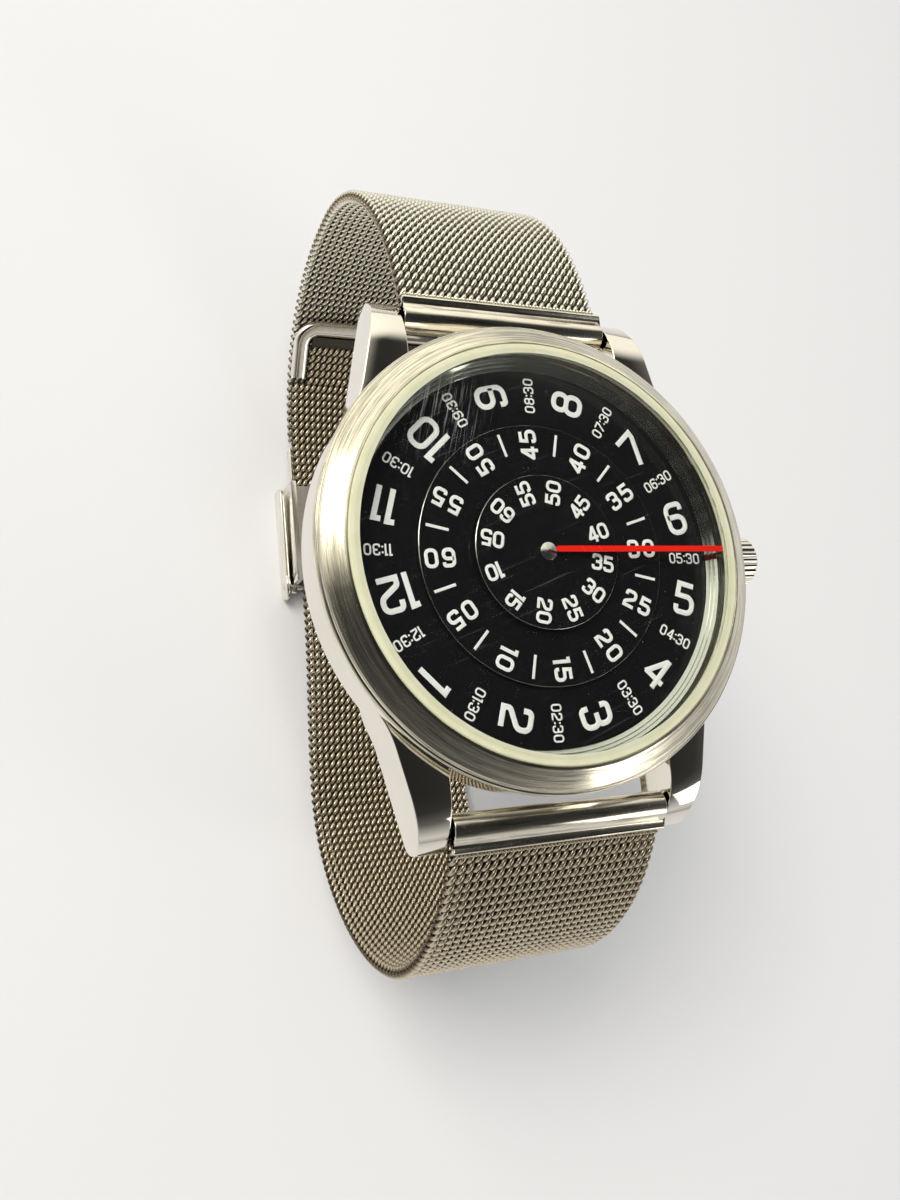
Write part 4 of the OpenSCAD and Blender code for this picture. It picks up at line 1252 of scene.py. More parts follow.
@dataclass
class Case:
    """Bezel, glass, gasket, polished ring, band with its lugs, case back and crown.

    Args:
        bench: Where the pieces are finished.
        outer: Radius of the bezel.
        bore: Radius of the band's bore.
        inner: Radius of the bezel's opening.
        glass_r: Radius of the hollow that holds the glass.
        lip_r: Radius of the polished ring's inner edge, over the hour disc.
        shoulder: Height of the bezel's seat.
        flutes: Number of flutes on the crown.
        flute: Depth of a flute.
    """

    bench: Bench
    outer: float = BEZEL_R
    bore: float = 17.2
    inner: float = 17.6
    glass_r: float = 17.08
    lip_r: float = 15.88
    shoulder: float = 6.3
    flutes: int = 24
    flute: float = 0.15

    def ring(self, name: str, corners: Rows, finish: Finish, node: str, steps: int = 288) -> None:
        """Make a ring on the case from its profile."""
        self.bench.turned(Role(name, finish, "case", (node,)), corners, steps)

    def build(self) -> None:
        """Make every piece of the case."""
        glass_low, top = (float(v[2]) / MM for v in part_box("crystal"))
        shoulder, seat, wall = self.shoulder, glass_low - 0.15, self.glass_r - 0.2
        self.ring("bezel_ring", [
            (self.bore + 0.06, shoulder, 0.02), (self.outer - 0.16, shoulder, 0.06),
            (self.outer, shoulder + 0.15, 0.08), (self.outer, shoulder + 0.57, 0.1),
            (self.outer - 0.12, shoulder + 0.70, 0.05), (self.outer - 0.25, shoulder + 0.74, 0.03),
            (self.outer - 0.30, shoulder + 0.88, 0.05), (self.outer - 0.42, shoulder + 1.01, 0.3),
            (self.inner + 0.26, top - 0.22, 0.1), (self.inner, top - 0.12, 0.04), (self.inner, seat, 0.02),
            (self.bore + 0.06, seat, 0.02)], Finish.BEZEL, "bezel", 320)
        lip = self.glass_r - 0.40
        self.ring("gasket_ring", [
            (wall, seat + 0.005, 0.03), (self.inner - 0.02, seat + 0.005, 0.02),
            (self.inner - 0.02, top - 0.19, 0.08), (self.inner - 0.12, top - 0.07, 0.1),
            (self.glass_r + 0.04, top - 0.05, 0.08), (lip, top - 0.01, 0.01), (lip, top - 0.045, 0.01),
            (self.glass_r, top - 0.05, 0.0), (self.glass_r, glass_low - 0.005, 0.0),
            (wall, glass_low - 0.005, 0.03)], Finish.NYLON, "crystal_gasket")
        low, high = (np.array(v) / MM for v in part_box("rehaut_ring"))
        lip_z = float(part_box("hour_disc")[1][2]) / MM + 0.05
        foot, run, rise, groove = self.bore - 0.62, wall - self.lip_r, 0.40, 0.05
        grooves = ((0.0, 0.0), (0.34, 0.0), (0.38, groove), (0.42, 0.0), (0.66, 0.0), (0.70, groove),
                   (0.74, 0.0))
        slope = [(self.lip_r + run * share + deep * 0.6, lip_z + 0.05 + rise * share - deep, 0.01)
                 for share, deep in grooves]
        self.ring("polished_inner_ring", [
            (foot, low[2], 0.02), (self.bore - 0.02, low[2], 0.02), (self.bore - 0.02, high[2], 0.02),
            (wall, high[2], 0.03), (wall, lip_z + 0.05 + rise, 0.03), *slope[::-1], (self.lip_r, lip_z, 0.01),
            (foot, lip_z, 0.02)], Finish.WALL, "rehaut_ring")
        rim = self.glass_r - 0.02
        self.bench.turned(Role("glass_disc", Finish.GLASS, "case", ("crystal",)), [
            (0, glass_low, 0), (rim, glass_low, 0.02), (rim, top - 0.055, 0.02), (0, top - 0.055, 0)],
            closed=False, crease=40.0)
        self.back()
        self.band()
        self.crown()
        self.bench.dress(Finish.RUBBER, "case_back_gasket")
        self.bench.dress(Finish.STEEL, "crown_tube")

    def band(self) -> None:
        """Make the band with its four lugs."""
        radius, low, high = self.outer - 0.2, 1.0, self.shoulder
        profile = rounded([
            (self.bore, low, 0.05), (radius - 0.9, low, 0.3), (radius - 0.3, low + 0.5, 0.8),
            (radius, low + 1.4, 0.8), (radius, high - 0.15, 0.1), (radius - 0.2, high - 0.02, 0.08),
            (self.bore, high - 0.02, 0.02)], steps=6)
        lug = self.lug(radius)
        lugs = [lug.placed(np.diag([sx, sy, 1.0])).outward() for sx in (1.0, -1.0) for sy in (1.0, -1.0)]
        self.bench.piece(Role("band_and_lugs", Finish.POLISHED, "case", ("case_middle",)),
                         Surface.joined([revolve(profile, 360), *lugs]))

    def lug(self, radius: float) -> Surface:
        """Shape the lug at 12 o'clock on the crown's side from rounded upright sections at growing y.

        In plan the flank is a straight line that runs tangentially into a circle, which in turn touches the
        band's circle. From the side the top is level and then falls in a circle to the tip.

        Args:
            radius: Radius of the band.

        Returns:
            The closed surface.
        """
        inner, tip_y, tip_ease, corner = 10.0, 23.2, 0.12, 0.9
        fall_y, fall_r, top, low = 18.3, 5.4, 5.35, 0.37
        tip, lean, hollow = np.array([inner + 2.3, tip_y]), np.radians(13.0), 9.0
        down, out = np.array([np.sin(lean), -np.cos(lean)]), np.array([np.cos(lean), np.sin(lean)])
        q = tip + hollow * out
        centre = q + (-q @ down - np.sqrt((q @ down) ** 2 - q @ q + (radius + hollow) ** 2)) * down
        touch_y, bend_y = float(radius / (radius + hollow) * centre[1]), float((centre - hollow * out)[1])
        y = np.concatenate([np.linspace(touch_y - 0.4, bend_y, 40)[:-1], np.linspace(bend_y, fall_y, 16)[:-1],
                            fall_y + (tip_y - 0.02 - fall_y) * np.sin(np.linspace(0, np.pi / 2, 48))])
        straight = tip[0] + (tip_y - y) * np.tan(lean)
        arc = centre[0] - np.sqrt(np.maximum(hollow ** 2 - (y - centre[1]) ** 2, 0.0))
        ring = np.sqrt(radius ** 2 - np.minimum(y, radius) ** 2) - 0.004
        x1 = np.where(y >= bend_y, straight, np.where(y >= touch_y, arc, ring))
        x0 = np.maximum(inner, np.sqrt(np.maximum((self.bore + 0.4) ** 2 - y ** 2, 0.0)))
        fall = top - fall_r + np.sqrt(np.maximum(fall_r ** 2 - (y - fall_y) ** 2, 0.0))
        z1 = np.where(y > fall_y, fall, top)
        past = np.clip(y - (tip_y - corner), 0.0, corner)
        z0 = np.maximum(low + corner - np.sqrt(np.maximum(corner ** 2 - past ** 2, 0.0)),
                        0.6 - (y - 8.0) / 14.0 * 0.25)
        z0 = z0 + 2.2 * np.clip((touch_y + 1.6 - y) / 2.0, 0.0, 1.0) ** 2
        # The last section is smaller all round and stands at the tip, which rounds the tip's edge
        for side, way in ((x0, 1.0), (x1, -1.0), (z0, 1.0), (z1, -1.0)):
            side[-1] += way * tip_ease
        y[-2:] = tip_y - tip_ease, tip_y - 0.005
        rows = [rounded([(a, c, 0.12), (b, c, 0.14), (b, d, 0.16), (a, d, 0.12)])
                for a, b, c, d in zip(x0, x1, z0, z1)]
        return lofted(np.stack([np.insert(row, 1, at, axis=1) for row, at in zip(rows, y)]))

    def back(self) -> None:
        """Make the case back: a shallow dish with a turned step, on the solid's own outline."""
        rim, neck = self.bore + 0.7, self.bore - 0.05
        self.bench.turned(Role("back_cover", Finish.BACK, "case", ("case_back",)), [
            (0, 0.0, 0), (14.2, 0.0, 0.04), (14.3, 0.06, 0.04), (14.7, 0.06, 0.04), (14.8, 0.0, 0.04),
            (rim - 0.4, 0.0, 0.12), (rim, 0.4, 0.1), (rim, 1.0, 0.03), (rim - 0.2, 1.0, 0.02),
            (rim - 0.2, 0.6, 0.02), (rim - 0.6, 0.6, 0.02), (rim - 0.6, 1.0, 0.02), (neck, 1.0, 0.02),
            (neck, 1.6, 0.03), (neck - 0.2, 1.6, 0.03), (neck - 0.2, 1.0, 0.03), (0, 1.0, 0)], 256, False, 3)

    def crown(self) -> None:
        """Make the crown: radius = profile radius - flute depth times a power of the cosine round the axis.

        The flutes fade out over the two rounded end edges.
        """
        low, high = (np.array(v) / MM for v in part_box("crown"))
        r, x0, x1 = float(high[1]), float(low[0]), float(high[0])
        profile = rounded([
            (0, x0 + 0.5, 0), (1.28, x0 + 0.5, 0.03), (1.28, x0, 0.03), (r - 0.18, x0, 0.06),
            (r, x0 + 0.24, 0.1), (r, x1 - 0.36, 0.16), (r - 0.36, x1, 0.14), (r - 0.9, x1, 0.05),
            (r - 1.0, x1 - 0.06, 0.05), (0, x1 - 0.06, 0)], closed=False)
        body = revolve(profile, self.flutes * 10)
        x, y, height = body.points.T
        around, radius = np.arctan2(y, x), np.hypot(x, y)
        share = np.clip((height - x0 - 0.05) / 0.2, 0, 1) * np.clip((x1 - 0.05 - height) / 0.45, 0, 1)
        outside = np.clip((radius - (r - 0.36)) / 0.2, 0, 1)
        radius = radius - self.flute * (0.5 + 0.5 * np.cos(around * self.flutes)) ** 2.2 * share * outside
        middle = float(low[2] + high[2]) / 2
        points = np.column_stack([height, radius * np.cos(around), radius * np.sin(around) + middle])
        self.bench.piece(Role("fluted_crown", Finish.POLISHED, "crown_and_stem", ("crown",)),
                         Surface(points, body.quads, body.tris).outward(), 50.0)


# Strap


@dataclass
class Course:
    """Middle line of a strap half in the Y-Z plane, measured by its length.

    Args:
        points: Points of shape (n, 2), from the sleeve on.
        sign: 1, or -1 where the outward side lies on the other side.
    """

    points: Array
    sign: float = 1.0

    def __post_init__(self) -> None:
        """Space the points evenly, smooth the small corners and work out lengths and directions."""
        window = 41
        steps = np.linalg.norm(np.diff(self.points, axis=0), axis=1)
        s = np.concatenate([[0.0], np.cumsum(steps)])
        even = np.linspace(0.0, s[-1], 1400)
        line = np.stack([np.interp(even, s, self.points[:, i]) for i in range(2)], axis=-1)
        kernel = np.hanning(window)
        kernel /= kernel.sum()
        padded = np.pad(np.gradient(line, axis=0), ((window // 2, window // 2), (0, 0)), mode="edge")
        along = unit(np.stack([np.convolve(padded[:, i], kernel, mode="valid") for i in range(2)], axis=-1))
        self.length, self.s, self.line, self.along = float(s[-1]), even, line, along

    def at(self, s: Union[float, Array], h: Union[float, Array]) -> tuple[Array, Array]:
        """Find the points at length s and height h over the middle line.

        Args:
            s: Length or lengths from the start.
            h: Height or heights, outward.

        Returns:
            Their Y and Z.
        """
        y, z = (np.interp(s, self.s, self.line[:, i]) for i in range(2))
        ty, tz = (np.interp(s, self.s, self.along[:, i]) for i in range(2))
        return y - self.sign * h * tz, z + self.sign * h * ty

    def laid(self, flat: Array, s: Union[float, Array] = 0.0) -> Array:
        """Return flat points (across, along from length s, outward) bent onto the middle line."""
        return np.stack([flat[..., 0], *self.at(flat[..., 1] + s, flat[..., 2])], axis=-1)


def cubic(corners: Rows, low: float = 0.0, high: float = 1.0, count: int = 120) -> Array:
    """Draw a cubic curve: the four corners weighted by the Bernstein polynomials of t.

    Args:
        corners: The four corners in the plane.
        low: Value of t at the start.
        high: Value of t at the end.
        count: Number of points.

    Returns:
        Array of shape (count, 2).
    """
    t = np.linspace(low, high, count)[:, None]
    a, b, c, d = (np.asarray(corner, dtype=float) for corner in corners)
    return (1 - t) ** 3 * a + 3 * t * (1 - t) ** 2 * b + 3 * t ** 2 * (1 - t) * c + t ** 3 * d


def tube(line: Array, inward: Array, radius: float) -> Array:
    """Lay rings of a round wire along lines, each square to the line's direction.

    Args:
        line: Points of shape (n, 3).
        inward: Direction of a ring's first point at each of them.
        radius: Radius of the wire.

    Returns:
        Array of shape (n, WIRE_SIDES, 3).
    """
    turn = np.linspace(0.0, 2 * np.pi, WIRE_SIDES, endpoint=False)[None, :, None]
    tangent = unit(np.gradient(line, axis=0))
    inward = unit(inward - tangent * np.einsum("ij,ij->i", inward, tangent)[:, None])
    other = np.cross(tangent, inward)
    return line[:, None] + radius * (np.cos(turn) * inward[:, None] + np.sin(turn) * other[:, None])


@dataclass
class Strap:
    """Both woven halves, the folded sleeves at the lugs and the rim on the free end.

    Args:
        bench: Where the pieces are finished.
        width: Width of the weave.
        thick: Its thickness.
        wire: Radius of the wire.
        columns: Slanting wires that a row shows across the strap.
        row: Distance from one row to the next.
        reach: Half the width of a coil along the strap.
        lead: Gap between the strap's start and its first row.
        bar: Distance of the spring bars from the dial axis, and their height.
        sleeve_l: Length of a sleeve from the bar.
        pocket: Distance from the bar to the start of the weave in the sleeve.
        slope_12: Slope of the 12 o'clock half at its sleeve, in degrees.
        slope_6: Slope of the 6 o'clock half at its sleeve.
        rest: Height of the surface that the watch stands on.
        sheet: Thickness of the clasp's tray, and the gap between the two halves there.
        cover: Thickness of the clasp's cover.
        tray_end: Where the 6 o'clock half leaves the tray.
        rim_l: Length of the rim on the free end.
        rim_w: Width of that rim.
    """

    bench: Bench
    width: float = 19.5
    thick: float = 1.3
    wire: float = 0.21
    columns: int = 27
    row: float = 0.91
    reach: float = 0.48
    lead: float = 0.2
    bar: tuple[float, float] = (21.4, 3.4)
    sleeve_l: float = 1.62
    pocket: float = 0.95
    slope_12: float = 8.0
    slope_6: float = 28.0
    rest: float = -38.5
    sheet: float = 0.3
    cover: float = 0.7
    tray_end: float = 19.0
    rim_l: float = 5.0
    rim_w: float = 1.8

    def __post_init__(self) -> None:
        """Lay out the middle lines of both halves: cubics from the bars down to the clasp."""
        hook_z = self.rest + self.cover + self.sheet + self.thick / 2
        tail_z = hook_z + self.thick + self.sheet
        end_y = float(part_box("hook_bracket")[1][1]) / MM + 0.02
        a, b = np.radians(self.slope_12), np.radians(self.slope_6)
        out_12, out_6 = np.array([np.cos(a), -np.sin(a)]), np.array([-np.cos(b), -np.sin(b)])
        bar_12, bar_6 = np.array(self.bar), np.array([-self.bar[0], self.bar[1]])
        free = self.sleeve_l + 0.1
        start_12, start_6 = bar_12 + free * out_12, bar_6 + free * out_6
        wide_12, wide_6, end_12 = np.array([42.3, -15.6]), np.array([-34.3, -15.6]), np.array([end_y, hook_z])
        belly, entry = np.array([-17.5, self.rest + self.thick / 2]), np.array([4.0, tail_z])
        lower_12 = [wide_12, wide_12 - [0, 13], end_12 + [11, 0], end_12]
        self.path_12 = Course(np.concatenate([
            [bar_12 + self.pocket * out_12],
            cubic([start_12, start_12 + 12 * out_12, wide_12 + [0, 8], wide_12]), cubic(lower_12)[1:]]))
        back = cubic(lower_12, 1.0, 0.5, 60)
        step = unit(np.gradient(back, axis=0))
        tail = back + (self.thick + 0.5) * np.stack([-step[:, 1], step[:, 0]], axis=-1)
        self.path_6 = Course(np.concatenate([
            [bar_6 + self.pocket * out_6], cubic([start_6, start_6 + 8 * out_6, wide_6 + [0, 7], wide_6]),
            cubic([wide_6, wide_6 - [0, 12], belly - [8, 0], belly])[1:],
            cubic([belly, belly + [8, 0], entry - [8, 0], entry])[1:],
            [[self.tray_end, tail_z], [end_y, tail_z]], tail[tail[:, 0] > end_y + 1.2]]), -1.0)

    def seam(self, course: Course) -> Surface:
        """Wind the fine coil along the sleeve's edge that ends the weave: a screw line of small radius.

        Args:
            course: Middle line of the half.

        Returns:
            The closed surface, all of it marked as outside.
        """
        turns, steps, radius, wire = 54, 8, 0.08, 0.1
        q = np.linspace(0.0, 2 * np.pi * turns, turns * steps + 1)
        half = self.width / 2 - 0.4
        spoke = np.stack([np.zeros_like(q), np.cos(q), np.sin(q)], axis=-1)
        line = radius * spoke
        line[:, 0] = np.linspace(-half, half, len(q))
        flat = tube(line, -spoke, wire) + [0.0, 0.0, self.thick / 2 + 0.16]
        points = course.laid(flat, self.sleeve_l - self.pocket + 0.36).reshape(-1, 3)
        return Surface(points, wire_quads(len(q)), shade=np.ones(len(points))).outward()

    def coils(self, course: Course, starts: Array, width: float, columns: int, lean: float) -> Surface:
        """Wind rows of flattened coils of wire that lie across the strap, two to a row.

        Along a coil's angle t, x grows evenly. The place along the strap is the reach times an arc sine of
        0.93 cos t, which is nearly a straight back and forth, and the height is the coil's half height times
        the sine of t raised to a power that flattens the crowns. The second coil of a row starts half a turn
        later, so that slanting wires lie side by side. The wire's ring is carried along that line and the
        flat result is then bent onto the strap's middle line.

        Args:
            course: Middle line that the rows follow.
            starts: Place of each row along it.
            width: Width between the edges.
            columns: Slanting wires that a row shows, two to a turn.
            lean: 1 or -1, the way in which the wires slant.

        Returns:
            The closed surfaces, with a shade that is 1 on the outside.
        """
        spans, sharp, flatten = 6, 0.93, 0.8
        t = np.linspace(0.0, np.pi * columns, columns * spans + 1)
        x = -width / 2 + self.wire + (width - 2 * self.wire) * t / t[-1]
        coils = []
        for phase in (0.0, np.pi):
            q = t + phase
            along = lean * np.arcsin(sharp * np.cos(q)) / np.arcsin(sharp)
            height = np.sign(np.sin(q)) * np.abs(np.sin(q)) ** flatten
            line = np.stack([x, self.reach * along, (self.thick / 2 - self.wire) * height], axis=-1)
            coils.append(tube(line, np.stack([np.zeros_like(q), -along, -height], axis=-1), self.wire))
        flat = np.concatenate([np.stack(coils)] * len(starts))
        flat[..., 2] = np.clip(flat[..., 2], -self.thick / 2, self.thick / 2)
        points = course.laid(flat, np.repeat(starts, 2)[:, None, None])
        shift = np.arange(len(flat)) * flat.shape[1] * WIRE_SIDES
        quads = (wire_quads(len(t))[None] + shift[:, None, None]).reshape(-1, 4)
        shade = np.abs(flat[..., 2]).ravel() / (self.thick / 2)
        return Surface(points.reshape(-1, 3), quads, shade=shade).outward()

    def core(self, name: str, course: Course, body: str, node: str, width: float) -> None:
        """Make a dark thin band along the middle line: painted shade that stands for the dark inside of the
        weave.

        Args:
            name: Name of the piece.
            course: Middle line of the half.
            body: The body that it moves with.
            node: The solid that it stands for.
            width: Width of the band.
        """
        s, half, side = np.linspace(0.1, course.length - 0.1, 160), 0.2, width / 2
        corners = ((-side, -half), (side, -half), (side, half), (-side, half))
        rows = np.stack([course.laid(np.stack([np.full_like(s, x), s, np.full_like(s, h)], axis=-1))
                         for x, h in corners], axis=1)
        strips, tris = flat_ends(len(s), len(corners))
        quads = np.concatenate([grid_quads(len(s), len(corners)), strips])
        surface = Surface(rows.reshape(-1, 3), quads, tris)
        self.bench.piece(Role(name, Finish.CORE, body, (node,)), surface.outward(), 40.0)

    def half(self, role: Role, course: Course, stop: float, pieces: int, lean: float,
             narrow: float = 0.0) -> None:
        """Make one woven half.

        Args:
            role: What it is, with the start of the pieces' names.
            course: Its middle line.
            stop: Length at which the full width ends.
            pieces: Number of pieces that share the rows.
            lean: 1 or -1, the way in which the wires slant.
            narrow: Width of the rows inside the rim on the free end, or 0 where there is no rim.
        """
        first = self.lead + self.reach
        starts = first + self.row * np.arange(int((stop - first) / self.row) + 1)
        for k, part in enumerate(np.array_split(starts, pieces)):
            surfaces = [self.coils(course, part, self.width, self.columns, lean)]
            if k == 0:
                surfaces.insert(0, self.seam(course))
            if narrow > 0.0 and k == pieces - 1:
                rows = len(starts) + np.arange(int(self.rim_l / self.row))
                columns = int(round(narrow / self.width * self.columns))
                surfaces.append(self.coils(course, first + self.row * rows, narrow, columns, lean))
            self.bench.piece(Role(f"{role.name}_weave_{k + 1}", role.finish, role.body, role.replaces),
                             Surface.joined(surfaces), 180.0)

    def build(self) -> None:
        """Make the whole strap."""
        course, end = self.path_12, self.reach + self.wire
        self.half(Role("strap_12", Finish.WIRE, "strap_12", ("mesh_12",)), course,
                  course.length - end, 2, -1.0)
        self.core("strap_12_core", course, "strap_12", "mesh_12", self.width - 1.1)
        course, narrow = self.path_6, self.width - 2 * self.rim_w - 0.04
        # The 6 o'clock half takes the darker wire finish, which is painted shade.
        self.half(Role("strap_6", Finish.WORN_WIRE, "case", ("mesh_6",)), course,
                  course.length - self.rim_l - end, 3, 1.0, narrow)
        self.core("strap_6_core", course, "case", "mesh_6", narrow - 0.8)
        self.rim()
        self.sleeve("sleeve_12_folded", self.slope_12, 1.0, "strap_12", "sleeve_12")
        self.sleeve("sleeve_6_folded", self.slope_6, -1.0, "case", "sleeve_6")
        self.bench.dress(Finish.STEEL, "spring_bar_12", "spring_bar_6")

    def rim(self) -> None:
        """Make the rim: a rounded flat section carried along a U, laid on the free end."""
        total, width, height = self.path_6.length, self.rim_w / 2, self.thick / 2
        end, back = (np.array(self.path_6.at(s, 0.0)) for s in (total, total - self.rim_l))
        on = unit(end - back)
        middle = self.width / 2 - width
        line = rounded([(-middle, -self.rim_l, 0), (-middle, width, 2.0), (middle, width, 2.0),
                        (middle, -self.rim_l, 0)], closed=False, steps=12)
        line = np.concatenate([np.linspace(line[0], line[1], 12)[:-1], line[1:-2],
                               np.linspace(line[-2], line[-1], 12)])
        along, flat = unit(np.gradient(line, axis=0)), np.zeros(len(line))
        section = rounded([(-width, -height, 0.6), (width, -height, 0.6), (width, height, 0.6),
                           (-width, height, 0.6)], steps=8)
        side = np.column_stack([along[:, 1], -along[:, 0], flat])
        surface = sweep(np.column_stack([line, flat]), side, section)
        turn = np.array([[1.0, 0.0, 0.0], [0.0, on[0], -on[1]], [0.0, on[1], on[0]]])
        self.bench.piece(Role("free_end_rim", Finish.POLISHED, "case", ("strap_tip",)),
                         surface.placed(turn, (0.0, *end)), 60.0)

    def sleeve(self, name: str, slope: float, way: float, body: str, node: str) -> None:
        """Make a sleeve: one strip of sheet folded round the spring bar, whose lips grip the weave.

        The outline runs along the outside from the upper lip, round the bar and back to the lower lip, then
        along the inside. A bead stands on the upper lip where it meets the weave.

        Args:
            name: Name of the piece.
            slope: Slope of the strap in degrees.
            way: 1 at 12 o'clock, -1 at 6 o'clock.
            body: The body that it moves with.
            node: The solid that it stands for.
        """
        length, grip, outer, inner = self.sleeve_l, self.thick / 2 + 0.02, 1.22, 0.80
        a, b = np.radians(np.linspace(62, 298, 40)), np.radians(np.linspace(302, 58, 30))
        upper = rounded([(length, grip, 0.0), (length + 0.04, grip + 0.28, 0.1), (length - 0.02, 1.22, 0.1),
                         (length - 0.22, 1.25, 0.12), (length - 0.46, 1.02, 0.12), (0.95, 0.97, 0.1),
                         (0.8, 1.0, 0.0)], closed=False)
        lower = rounded([(0.8, -0.98, 0.0), (length - 0.1, -0.95, 0.1), (length, -0.9, 0.1),
                         (length, -grip, 0.0)], closed=False)
        outline = np.concatenate([
            upper, np.column_stack([outer * np.cos(a), outer * np.sin(a)]), lower,
            [(self.pocket, -grip), (0.62, -0.6)], np.column_stack([inner * np.cos(b), inner * np.sin(b)]),
            [(0.62, 0.6), (self.pocket, grip)]])
        c, s = np.cos(np.radians(slope)), np.sin(np.radians(slope))
        y, z = outline.T
        placed = np.column_stack([way * (self.bar[0] + (y * c + z * s)), self.bar[1] + (z * c - y * s)])
        self.bench.piece(Role(name, Finish.SLEEVE, body, (node,)),
                         extrude_x(placed, float(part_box(node)[1][0]) / MM, 0.1), 40.0)


@dataclass
class Clasp:
    """Tray, cover, hook, lock plate and pins, from their own solids with eased edges.

    Args:
        bench: Where the pieces are finished.
        edge: Radius of the eased edges.
    """

    bench: Bench
    edge: float = 0.12

    def build(self) -> None:
        """Make every piece of the clasp."""
        for node, name, finish, body, edge in (
                ("clasp_tray", "tray_folded", Finish.CLASP, "case", self.edge),
                ("clasp_cover", "cover_folded", Finish.POLISHED, "cover", self.edge * 1.4),
                ("hook_bracket", "hook_bracket_eased", Finish.POLISHED, "strap_12", self.edge),
                ("lock_plate", "lock_plate_eased", Finish.CLASP, "lock", self.edge),
                ("cover_pin", "cover_pin_eased", Finish.STEEL, "cover", self.edge / 2)):
            self.bench.eased(node, Role(name, finish, body, (node,)), edge)
        self.bench.dress(Finish.STEEL, "lock_pin")


@dataclass
class Movement:
    """The movement behind the discs: its solids keep their shapes and get their finishes.

    Args:
        bench: Where the pieces are finished.
    """

    bench: Bench

    def dress(self) -> None:
        """Give every solid of the movement its finish."""
        for finish, names in (
                (Finish.PLATE, "main_plate"),
                (Finish.BRASS, "battery_clip hour_wheel minute_wheel second_wheel third_wheel fifth_wheel"),
                (Finish.BRASS, "minute_work_wheel"),
                (Finish.BRIDGE, "train_bridge battery"),
                (Finish.STEEL, "quartz_can stator rotor clutch_wheel winding_stem setting_lever"),
                (Finish.BLUED, "bridge_screws"), (Finish.BOARD, "circuit_board"), (Finish.COIL, "coil"),
                (Finish.HOLDER, "movement_holder"), (Finish.RUBBER, "crown_seal"),
                (Finish.BLACK, "dial_plate")):
            self.bench.dress(finish, *names.split())


# Studio


@dataclass(frozen=True)
class Lamp:
    """A soft square lamp that faces the watch.

    Args:
        name: Name of the lamp.
        place: Where it stands, in metres.
        size: Length of its side, in metres.
        watts: Its power.
        colour: Its colour.
        shows: Metal and glass mirror it.
    """

    name: str
    place: tuple[float, float, float]
    size: float
    watts: float
    colour: Colour
    shows: bool

    def light(self) -> None:
        """Add the lamp to the scene, turned towards a point a little below the case."""
        data = bpy.data.lights.new(self.name, "AREA")
        data.shape, data.size, data.energy, data.color = "SQUARE", self.size, self.watts, self.colour
        lamp = bpy.data.objects.new(self.name, data)
        lamp.location = Vector(self.place)
        lamp.rotation_euler = (lamp.location - Vector((0.0, 0.0, -0.01))).to_track_quat("Z", "Y").to_euler()
        lamp.visible_glossy = lamp.visible_transmission = self.shows
        bpy.context.scene.collection.objects.link(lamp)


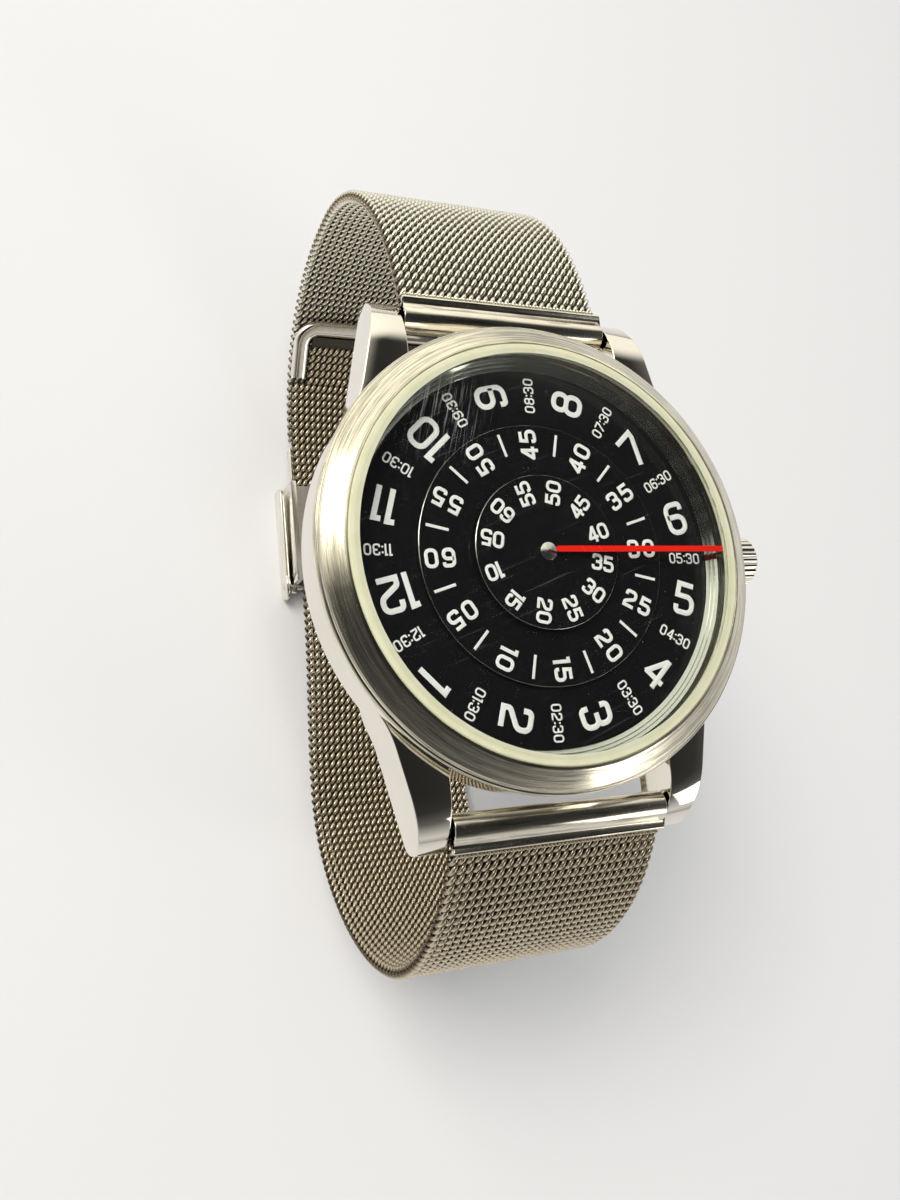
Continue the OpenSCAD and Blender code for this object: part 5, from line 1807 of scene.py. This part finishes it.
@dataclass
class Studio:
    """Camera, lamps, floor and surroundings.

    Args:
        floor_z: Height of the floor.
        reach: Half the floor's width.
        place: Where the camera stands, in metres.
        right: The picture's right direction.
        down: The picture's down direction.
        forward: Where the camera looks.
        lens: Focal length for a picture 36 mm high.
        lamps: The lamps.
        horizon: The room's brightness in gloss at heights from the horizon to overhead.
        glows: Bright places in gloss: direction, cosines where the glow starts and is full, and colour.
    """

    floor_z: float = -38.5
    reach: float = 1500.0
    place: tuple[float, float, float] = (-0.039624, -0.018208, 0.077126)
    right: tuple[float, float, float] = (0.92041298, -0.09877481, 0.37826378)
    down: tuple[float, float, float] = (-0.01969226, -0.97804176, -0.20747658)
    forward: tuple[float, float, float] = (0.39045123, 0.18351527, -0.90214743)
    lens: float = 30.0
    lamps: tuple[Lamp, ...] = (
        Lamp("key lamp", (-0.34, 0.28, 0.52), 0.34, 3.3, (1.0, 0.96, 0.90), False),
        Lamp("fill lamp", (0.42, -0.40, 0.23), 0.26, 0.5, (1.0, 0.96, 0.92), True),
        Lamp("top lamp", (-0.16, 0.04, 0.58), 0.24, 0.8, (1.0, 0.98, 0.95), False))
    horizon: tuple[tuple[float, float], ...] = (
        (0.0, 0.50), (0.10, 0.70), (0.30, 0.42), (0.50, 0.13), (0.75, 0.035), (1.0, 0.02))
    glows: tuple[tuple[Colour, float, float, Colour], ...] = (
        ((0.30, 0.90, 0.10), 0.62, 0.90, (1.15, 1.11, 1.00)),
        ((-0.42, 0.80, 0.42), 0.62, 0.80, (1.30, 1.26, 1.12)),
        ((-0.61, 0.50, 0.61), 0.972, 0.990, (7.0, 6.8, 6.2)))

    def camera(self) -> None:
        """Set up the camera at the photograph's place."""
        data = bpy.data.cameras.new("photo camera")
        data.sensor_fit, data.sensor_height, data.lens = "VERTICAL", 36.0, self.lens
        data.clip_start, data.clip_end = 0.001, 20.0
        camera = bpy.data.objects.new("photo_camera", data)
        columns = (Vector(self.right), -Vector(self.down), -Vector(self.forward), Vector(self.place))
        camera.matrix_world = Matrix([[c[i] for c in columns] for i in range(3)] + [[0.0, 0.0, 0.0, 1.0]])
        bpy.context.scene.collection.objects.link(camera)
        bpy.context.scene.camera = camera

    def floor(self) -> None:
        """Lay a large pale floor under the watch."""
        side = self.reach * MM
        mesh = bpy.data.meshes.new("floor")
        mesh.from_pydata([(-side, -side, 0), (side, -side, 0), (side, side, 0), (-side, side, 0)], [],
                         [(0, 1, 2, 3)])
        floor = bpy.data.objects.new("floor", mesh)
        floor.location.z = self.floor_z * MM
        inputs = {"base_color": (0.80, 0.80, 0.80), "roughness": 0.8, "specular_ior_level": 0.1}
        mesh.materials.append(Shader("pale floor").surface(**inputs))
        bpy.context.scene.collection.objects.link(floor)

    def surroundings(self) -> None:
        """Fill the room: white where the camera sees it, pale at the horizon and greyer overhead in gloss."""
        world = bpy.data.worlds.new("room")
        bpy.context.scene.world = world
        room = Tree(world)
        ray = room.add("ShaderNodeLightPath").outputs
        here = room.add("ShaderNodeTexCoord").outputs["Generated"]
        stops = [(height, (level, level * 0.985, level * 0.96)) for height, level in self.horizon]
        level = room.add("ShaderNodeValToRGB", {"stops": stops}, {0: room.parts(here)[2]}).outputs[0]
        for toward, low, high, colour in self.glows:
            aim = tuple(np.array(toward) / np.linalg.norm(toward))
            dot = room.add("ShaderNodeVectorMath", {"operation": "DOT_PRODUCT"}, {0: here, 1: aim})
            level = room.mix(Value(room, dot.outputs["Value"]).step(low, high), level, colour)
        soft, gloss, shown = (room.add("ShaderNodeBackground", None, {"Color": colour, "Strength": strength})
                              for colour, strength in (((0.95, 0.97, 1.0), 0.42), (level, 1.0),
                                                       ((1.0, 1.0, 1.0), 1.0)))
        clear = Value(room, ray["Is Glossy Ray"])
        clear = clear.math("MAXIMUM", clear, Value(room, ray["Is Transmission Ray"]))
        both = room.blend(ray["Is Camera Ray"], room.blend(clear, soft, gloss), shown)
        room.add("ShaderNodeOutputWorld", None, {"Surface": both.outputs[0]})

    def build(self) -> None:
        """Set up the whole studio."""
        self.camera()
        self.floor()
        self.surroundings()
        for lamp in self.lamps:
            lamp.light()
        bpy.context.scene.view_settings.view_transform = "Standard"


def main() -> None:
    """Dress the frame: studio, dial, case, strap, clasp and movement in turn."""
    logging.basicConfig(level=logging.INFO, format="%(name)s: %(message)s")
    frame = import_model()
    Studio().build()
    bench = Bench(frame["nodes"])
    Dial(bench).build()
    Case(bench).build()
    Strap(bench).build()
    Clasp(bench).build()
    Movement(bench).dress()


if __name__ == "__main__":
    main()
